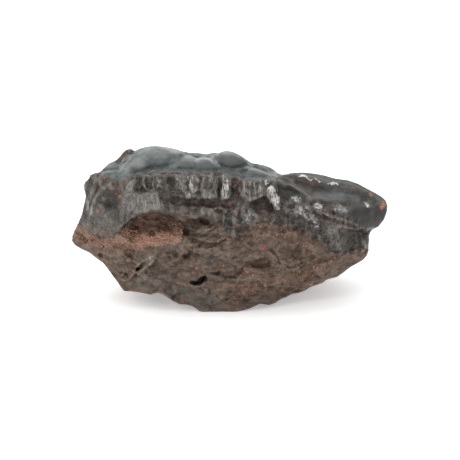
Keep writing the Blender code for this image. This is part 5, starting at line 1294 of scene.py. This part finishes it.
def rust_flecks(tree, place, patch, grit, rusty, umber):
    """Small ragged flecks of rust and pale grit: how far they cover, and their colour."""
    wander = add(tree, "ShaderNodeTexNoise", Vector=place, Scale=1400.0, Detail=2.0).outputs["Color"]
    stray = tree.nodes.new("ShaderNodeVectorMath")
    stray.operation = "MULTIPLY_ADD"
    for socket, value in zip(stray.inputs, (wander, (0.0012, 0.0012, 0.0012), place)):
        fill(tree, socket, value)
    distance, chosen, pallor = cells(tree, stray.outputs["Vector"], 1.0)
    common = mix_value(tree, rusty, rise(tree, patch, 0.52, 0.66, 0.0, 0.55),
                       rise(tree, patch, 0.30, 0.55, 0.35, 1.0))
    cover = times(tree, rise(tree, distance, 0.36, 0.12), rise(tree, chosen, 0.56, 0.72))
    cover = times(tree, times(tree, cover, common), reckon(tree, "SUBTRACT", 1.0, umber))
    rust = mix_colour(tree, rise(tree, grit, 0.35, 0.65), (0.33, 0.15, 0.085), (0.50, 0.27, 0.17))
    return cover, mix_colour(tree, rise(tree, pallor, 0.5, 0.8), rust, (0.34, 0.235, 0.185))


def matrix_finish():
    """Brown iron ore: grey, umber and reddish patches, gritty, with rust flecks, painted shade in its folds,
    crevices and cracks, and painted highlights on its crests, edges and lips.
    """
    tree, given = new_finish("brown_matrix", "Floor", "Umber", "Druse", "Grey", "Crevice", "Edge", "Fold",
                             "Crest", "Lip", "Crack_shade", "Rusty")
    place = place_of(tree)
    broad = patches(tree, place, 9.0, 4.0, 0.6)
    patch = patches(tree, place, 2.6, 5.0, 0.66, 0.6)
    grit = patches(tree, place, 0.48, 4.0, 0.72)
    dust = patches(tree, place, 0.22, 3.0, 0.7)
    flow = patches(tree, place_of(tree, (0.6, 0.8, 1.5), (0.0, 0.5, 0.0)), 4.2, 3.0, 0.5, 1.6)
    band = reckon(tree, "ABSOLUTE", reckon(tree, "SUBTRACT", flow, 0.5))
    grey_brown = ramp(tree, patch, (0.30, (0.036, 0.024, 0.0165)), (0.48, (0.086, 0.057, 0.040)),
                      (0.68, (0.165, 0.121, 0.090)))
    red_brown = ramp(tree, patch, (0.30, (0.040, 0.023, 0.0155)), (0.5, (0.098, 0.059, 0.041)),
                     (0.70, (0.190, 0.121, 0.086)))
    grey = ramp(tree, patch, (0.30, (0.050, 0.048, 0.041)), (0.6, (0.118, 0.114, 0.101)))
    floor = ramp(tree, grit, (0.30, (0.110, 0.047, 0.030)), (0.5, (0.28, 0.142, 0.095)),
                 (0.66, (0.56, 0.34, 0.24)))
    umber = ramp(tree, patch, (0.32, (0.029, 0.0155, 0.0085)), (0.5, (0.060, 0.034, 0.019)),
                 (0.72, (0.12, 0.071, 0.043)))
    roof = ramp(tree, grit, (0.32, (0.040, 0.020, 0.013)), (0.5, (0.120, 0.064, 0.042)),
                (0.66, (0.27, 0.155, 0.10)))
    # Painted shade in the folds, less in the umber hollows; below, painted highlights and painted shade too
    fold = times(tree, given["Fold"], reckon(tree, "MULTIPLY_ADD", given["Umber"], -0.4, 0.5))
    colour = lay_over(
        tree, grey_brown,
        (rise(tree, broad, 0.42, 0.58), red_brown),
        (times(tree, given["Grey"], 0.8), grey),
        (rise(tree, grit, 0.56, 0.74, 0.0, 0.6), (0.28, 0.20, 0.155)),
        (rise(tree, dust, 0.50, 0.68, 0.0, 0.45), (0.22, 0.165, 0.13)),
        (rise(tree, dust, 0.48, 0.30, 0.0, 0.5), (0.028, 0.020, 0.015)),
        (rise(tree, grit, 0.43, 0.28, 0.0, 0.5), (0.030, 0.020, 0.014)),
        (rise(tree, band, 0.045, 0.0, 0.0, 0.6), (0.032, 0.021, 0.015)),
        (rise(tree, flow, 0.56, 0.70, 0.0, 0.4), (0.19, 0.155, 0.130)),
        (given["Floor"], floor),
        (times(tree, given["Umber"], 0.9), umber),
        (given["Druse"], roof),
        (fold, (0.026, 0.017, 0.012)),
        (times(tree, given["Crest"], 0.2), (0.21, 0.16, 0.128)),
        rust_flecks(tree, place, patch, grit, given["Rusty"], given["Umber"]),
        (times(tree, given["Edge"], 0.38), (0.28, 0.21, 0.165)),
        (times(tree, given["Crevice"], 0.65), (0.012, 0.008, 0.006)),
        (times(tree, given["Lip"], rise(tree, grit, 0.38, 0.6, 0.1, 1.0)), (0.42, 0.34, 0.28)),
        (times(tree, given["Crack_shade"], rise(tree, grit, 0.6, 0.3, 0.5, 1.0)), (0.014, 0.010, 0.008)))
    roughness = rise(tree, dust, 0.3, 0.7, 0.50, 0.80)
    height = plus(tree, times(tree, grit, 0.34), times(tree, dust, 0.14), times(tree, patch, 0.3))
    return put_out(tree, colour, roughness, height)


def place_finish(tree, group, **own):
    """Puts a finish in a material, fed by the mesh's marks unless it is given its own value."""
    made = tree.nodes.new("ShaderNodeGroup")
    made.node_tree = group
    for socket in made.inputs:
        fill(tree, socket, own[socket.name] if socket.name in own else kept(tree, socket.name.lower()))
    return made.outputs["Colour"], made.outputs["Roughness"], made.outputs["Height"]


def blend_finish(tree, share, low, high):
    return (mix_colour(tree, share, low[0], high[0]), mix_value(tree, share, low[1], high[1]),
            mix_value(tree, share, low[2], high[2]))


def new_material(name):
    material = bpy.data.materials.new(name)
    material.use_nodes = True
    return material, material.node_tree, material.node_tree.nodes["Principled BSDF"].inputs


def stone_material():
    """The three finishes, blended where the skin, the crust and the matrix meet, with painted shade, painted
    glints and the spots over them.
    """
    material, tree, shader = new_material("hematite_stone")
    place = place_of(tree)
    skin_share, pale = kept(tree, "skin"), kept(tree, "pale")
    speckle = reckon(tree, "MULTIPLY_ADD", patches(tree, place, 0.9, 5.0, 0.75), 1.3, -0.65)
    crust_share = rise(tree, plus(tree, kept(tree, "crust"), speckle), 0.36, 0.64)
    matrix = place_finish(tree, matrix_finish())
    crust = place_finish(tree, crust_finish())
    # The pale crests give the skin a painted highlight in its colour, and a glossy coat
    skin = place_finish(tree, skin_finish(), Pale=times(tree, pale, PALE_COLOUR))
    broken = blend_finish(tree, crust_share, matrix, crust)
    colour, roughness, height = blend_finish(tree, skin_share, broken, skin)
    grain = patches(tree, place, 0.4, 3.0)
    # Painted glints on the brightest edges
    glint = plus(tree, kept(tree, "glint"), reckon(tree, "MULTIPLY_ADD", grain, 0.3, -0.15))
    rust = mix_colour(tree, grain, (0.24, 0.09, 0.045), (0.50, 0.25, 0.15))
    rose = mix_colour(tree, grain, (0.24, 0.045, 0.058), (0.38, 0.13, 0.14))
    spotted = rise(tree, grain, 0.35, 0.55, 0.2, 0.9)
    # Over the finishes: painted shade where the dark marks lie, painted glints, and the rust and rose spots
    colour = lay_over(
        tree, colour,
        (times(tree, kept(tree, "dark"), 0.8), (0.011, 0.0095, 0.0085)),
        (rise(tree, glint, 0.83, 0.92, 0.0, 0.95), (0.58, 0.58, 0.57)),
        (times(tree, kept(tree, "rust"), spotted), rust),
        (times(tree, kept(tree, "rose"), spotted), rose))
    # Under the painted shade the skin also reflects less
    skin_index = mix_value(tree, kept(tree, "shade"), 1.41, 1.3)
    bump = add(tree, "ShaderNodeBump", Height=height, Distance=BUMP_HEIGHT * MM, Strength=0.8)
    for name, value in (("Base Color", colour), ("Roughness", roughness), ("Normal", bump.outputs["Normal"]),
                        ("Metallic", mix_value(tree, skin_share, times(tree, crust_share, 0.35), 0.1)),
                        ("IOR", mix_value(tree, skin_share, 1.35, skin_index)),
                        ("Coat Weight", times(tree, pale, skin_share)),
                        ("Coat Roughness", 0.4), ("Coat IOR", 1.7)):
        fill(tree, shader[name], value)
    return material


def grain_material(name, pattern, stops, roughness, metallic=0.0):
    """Small grains, each of its own tone."""
    material, tree, shader = new_material(name)
    tone = patches(tree, place_of(tree), *pattern)
    fill(tree, shader["Base Color"], ramp(tree, tone, *stops))
    fill(tree, shader["Roughness"], rise(tree, tone, 0.35, 0.65, *roughness))
    shader["Metallic"].default_value = metallic
    return material


def scatter_tree():
    """Grains that grow on a surface: its area and an attribute of the surface say how many and where."""
    tree = bpy.data.node_groups.new("grown_grains", "GeometryNodeTree")
    geometry = "NodeSocketGeometry"
    for name, kind in (("Geometry", geometry), ("Cover", FLOAT), ("Per square metre", FLOAT),
                       ("Smallest", FLOAT), ("Largest", FLOAT), ("Flatness", FLOAT),
                       ("Seed", "NodeSocketInt"), ("Finish", "NodeSocketMaterial")):
        tree.interface.new_socket(name, in_out="INPUT", socket_type=kind)
    tree.interface.new_socket("Geometry", in_out="OUTPUT", socket_type=geometry)
    given = tree.nodes.new("NodeGroupInput").outputs
    places = add(tree, "GeometryNodeDistributePointsOnFaces", Mesh=given["Geometry"], Seed=given["Seed"],
                 Density=times(tree, given["Cover"], given["Per square metre"]))
    grain = add(tree, "GeometryNodeMeshIcoSphere", Radius=0.5, Subdivisions=1)
    shape = add(tree, "ShaderNodeCombineXYZ", X=1.0, Y=0.8, Z=given["Flatness"])
    flat = add(tree, "GeometryNodeTransform", Geometry=grain.outputs["Mesh"], Scale=shape.outputs["Vector"])
    size = add(tree, "FunctionNodeRandomValue", {"data_type": "FLOAT"}, Seed=given["Seed"])
    fill(tree, size.inputs[2], given["Smallest"])
    fill(tree, size.inputs[3], given["Largest"])
    turn = add(tree, "FunctionNodeRandomValue", {"data_type": "FLOAT_VECTOR"})
    turn.inputs[0].default_value = (-GRAIN_TILT, -GRAIN_TILT, -math.pi)
    turn.inputs[1].default_value = (GRAIN_TILT, GRAIN_TILT, math.pi)
    tilt = add(tree, "FunctionNodeRotateEuler", {"space": "LOCAL"}, Rotation=places.outputs["Rotation"],
               Rotate_By=turn.outputs[0])
    grains = add(tree, "GeometryNodeInstanceOnPoints", Points=places.outputs["Points"],
                 Instance=flat.outputs["Geometry"], Rotation=tilt.outputs["Rotation"], Scale=size.outputs[1])
    plain = add(tree, "GeometryNodeRealizeInstances", Geometry=grains.outputs["Instances"])
    dressed = add(tree, "GeometryNodeSetMaterial", Geometry=plain.outputs["Geometry"],
                  Material=given["Finish"])
    add(tree, "NodeGroupOutput", Geometry=dressed.outputs["Geometry"])
    return tree


def grow(stone, tree, name, cover, **amounts):
    """Grains on the stone where the cover is, as a plain mesh of their own."""
    ground = bpy.data.objects.new(name, stone.data.copy())
    bpy.context.scene.collection.objects.link(ground)
    mark(ground, "grown", cover)
    modifier = ground.modifiers.new("Grow", "NODES")
    modifier.node_group = tree
    sockets = {item.name: item.identifier for item in tree.interface.items_tree if item.in_out == "INPUT"}
    modifier[sockets["Cover"] + "_use_attribute"] = True
    modifier[sockets["Cover"] + "_attribute_name"] = "grown"
    for amount, value in amounts.items():
        modifier[sockets[amount.replace("_", " ")]] = value
    graph = bpy.context.evaluated_depsgraph_get()
    made = bpy.data.meshes.new_from_object(ground.evaluated_get(graph))
    ground.modifiers.clear()
    ground.data = made
    return ground


def drop_crumbs(stone):
    """Leaves only the largest of the surface's separate pieces."""
    mesh = bmesh.new()
    mesh.from_mesh(stone.data)
    unseen = set(mesh.verts)
    pieces = []
    while unseen:
        front = [unseen.pop()]
        piece = list(front)
        while front:
            corner = front.pop()
            beside = {side.other_vert(corner) for side in corner.link_edges} & unseen
            unseen -= beside
            front += beside
            piece += beside
        pieces.append(piece)
    pieces.sort(key=len)
    bmesh.ops.delete(mesh, geom=[corner for piece in pieces[:-1] for corner in piece], context="VERTS")
    mesh.to_mesh(stone.data)
    mesh.free()


def build_stone():
    """The stone in full detail, with its marks."""
    stone = bpy.data.objects.new("stone", blocked_out())
    bpy.context.scene.collection.objects.link(stone)
    fuse(stone, FUSE_VOXEL, 3)
    soften_folds(stone)
    sculpt(stone)
    trim(stone, FIRST_BEYOND)
    fuse(stone, FINE_VOXEL, 1)
    roughen(stone)
    weather(stone)
    trim(stone, LAST_BEYOND)
    faces = sum(len(face.vertices) - 2 for face in stone.data.polygons)
    with_modifier(stone, "DECIMATE", ratio=min(1.0, MOST_TRIANGLES / faces))
    drop_crumbs(stone)
    mark_zones(stone)
    settle(stone)
    stone.data.shade_smooth()
    return stone


def aim(thing, target):
    """Turns a camera or a light at a point."""
    thing.rotation_mode = "QUATERNION"
    thing.rotation_quaternion = (Vector(target) - thing.location).to_track_quat("-Z", "Y")


def soft_light(name, place, side, power):
    """A square panel of light, aimed at the stone's foot."""
    lamp = bpy.data.lights.new(name, "AREA")
    lamp.shape = "RECTANGLE"
    lamp.size = lamp.size_y = side
    lamp.energy = power
    light = bpy.data.objects.new(name, lamp)
    light.location = place
    bpy.context.scene.collection.objects.link(light)
    aim(light, LIGHT_TARGET)


def pale_floor():
    """A wide sheet of white paper."""
    mesh = bmesh.new()
    bmesh.ops.create_grid(mesh, x_segments=1, y_segments=1, size=FLOOR_HALF)
    data = bpy.data.meshes.new("pale_floor")
    mesh.to_mesh(data)
    mesh.free()
    floor = bpy.data.objects.new("pale_floor", data)
    bpy.context.scene.collection.objects.link(floor)
    paper, _, shader = new_material("white_paper")
    for name, value in (("Base Color", (0.93, 0.93, 0.93, 1.0)), ("Roughness", 0.9),
                        ("Emission Color", (1.0, 1.0, 1.0, 1.0)), ("Emission Strength", 0.35)):
        shader[name].default_value = value
    data.materials.append(paper)


def light_tent():
    """A white sky, brighter above and behind."""
    world = bpy.data.worlds.new("light_tent")
    world.use_nodes = True
    tree = world.node_tree
    toward = add(tree, "ShaderNodeVectorMath", {"operation": "DOT_PRODUCT"})
    tree.links.new(tree.nodes.new("ShaderNodeTexCoord").outputs["Generated"], toward.inputs[0])
    toward.inputs[1].default_value = TENT_BRIGHTEST
    glow = add(tree, "ShaderNodeMapRange", Value=toward.outputs["Value"], From_Min=-0.6, From_Max=0.9,
               To_Min=0.45, To_Max=1.2)
    sky = tree.nodes["Background"].inputs
    sky["Color"].default_value = (1.0, 1.0, 1.0, 1.0)
    tree.links.new(glow.outputs["Result"], sky["Strength"])
    bpy.context.scene.world = world


def studio():
    """A pale floor, soft light from above and behind, and the camera."""
    pale_floor()
    light_tent()
    soft_light("overhead", (-0.3, 0.5, 1.3), side=2.0, power=14.0)
    soft_light("front_left", (-0.5, -0.75, 0.65), side=0.3, power=1.6)
    scene = bpy.context.scene
    camera = bpy.data.objects.new("camera", bpy.data.cameras.new("camera"))
    scene.collection.objects.link(camera)
    camera.data.lens = CAMERA_LENS
    camera.data.sensor_width = CAMERA_SENSOR
    target = (np.array(seen(*PICTURE_MIDDLE)) - MIDDLE) * MM
    distance = PICTURE_WIDTH * MM * CAMERA_LENS / CAMERA_SENSOR
    camera.location = target + OUT_OF_FACE * distance
    aim(camera, target)
    camera.data.clip_end = 20.0
    scene.camera = camera
    scene.view_settings.view_transform = "Standard"


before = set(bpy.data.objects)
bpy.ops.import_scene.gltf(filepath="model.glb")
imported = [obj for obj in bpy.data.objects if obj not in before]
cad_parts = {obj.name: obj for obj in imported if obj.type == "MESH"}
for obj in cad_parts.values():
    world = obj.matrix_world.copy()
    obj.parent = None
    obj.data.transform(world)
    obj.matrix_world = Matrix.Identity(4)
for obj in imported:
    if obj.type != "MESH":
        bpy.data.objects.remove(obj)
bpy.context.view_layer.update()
stone = build_stone()
stone.data.materials.append(stone_material())
broken = 1.0 - read_mark(stone, "skin")
matrix = broken * (1.0 - read_mark(stone, "crust"))
# lit is where no painted shade lies; the druse grains keep out of the painted shade
lit = 1.0 - read_mark(stone, "dark")
pink = grain_material("pink_grains", (2.0, 5.0, 0.8), PINK_GRAIN, (0.55, 0.3))
bright = grain_material("bright_chips", (0.8, 2.0, 0.6), BRIGHT_CHIP, (0.5, 0.35), 0.3)
brown = grain_material("brown_grains", (2.0, 5.0, 0.8), BROWN_GRAIN, (0.55, 0.3))
grains = scatter_tree()
grown = [
    grow(stone, grains, "pink_druse", matrix * lit * read_mark(stone, "floor"), Finish=pink, Seed=3,
         Per_square_metre=3.4e6, Smallest=0.25 * MM, Largest=0.6 * MM, Flatness=0.8),
    grow(stone, grains, "bright_chips", broken * read_mark(stone, "glitter"), Finish=bright, Seed=5,
         Per_square_metre=0.8e6, Smallest=0.35 * MM, Largest=0.8 * MM, Flatness=0.3),
    grow(stone, grains, "brown_druse", matrix * lit * read_mark(stone, "druse"), Finish=brown, Seed=8,
         Per_square_metre=3.0e6, Smallest=0.25 * MM, Largest=0.55 * MM, Flatness=0.7),
]
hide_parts("hematite")
for piece in (stone, *grown):
    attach(piece, "root")
studio()
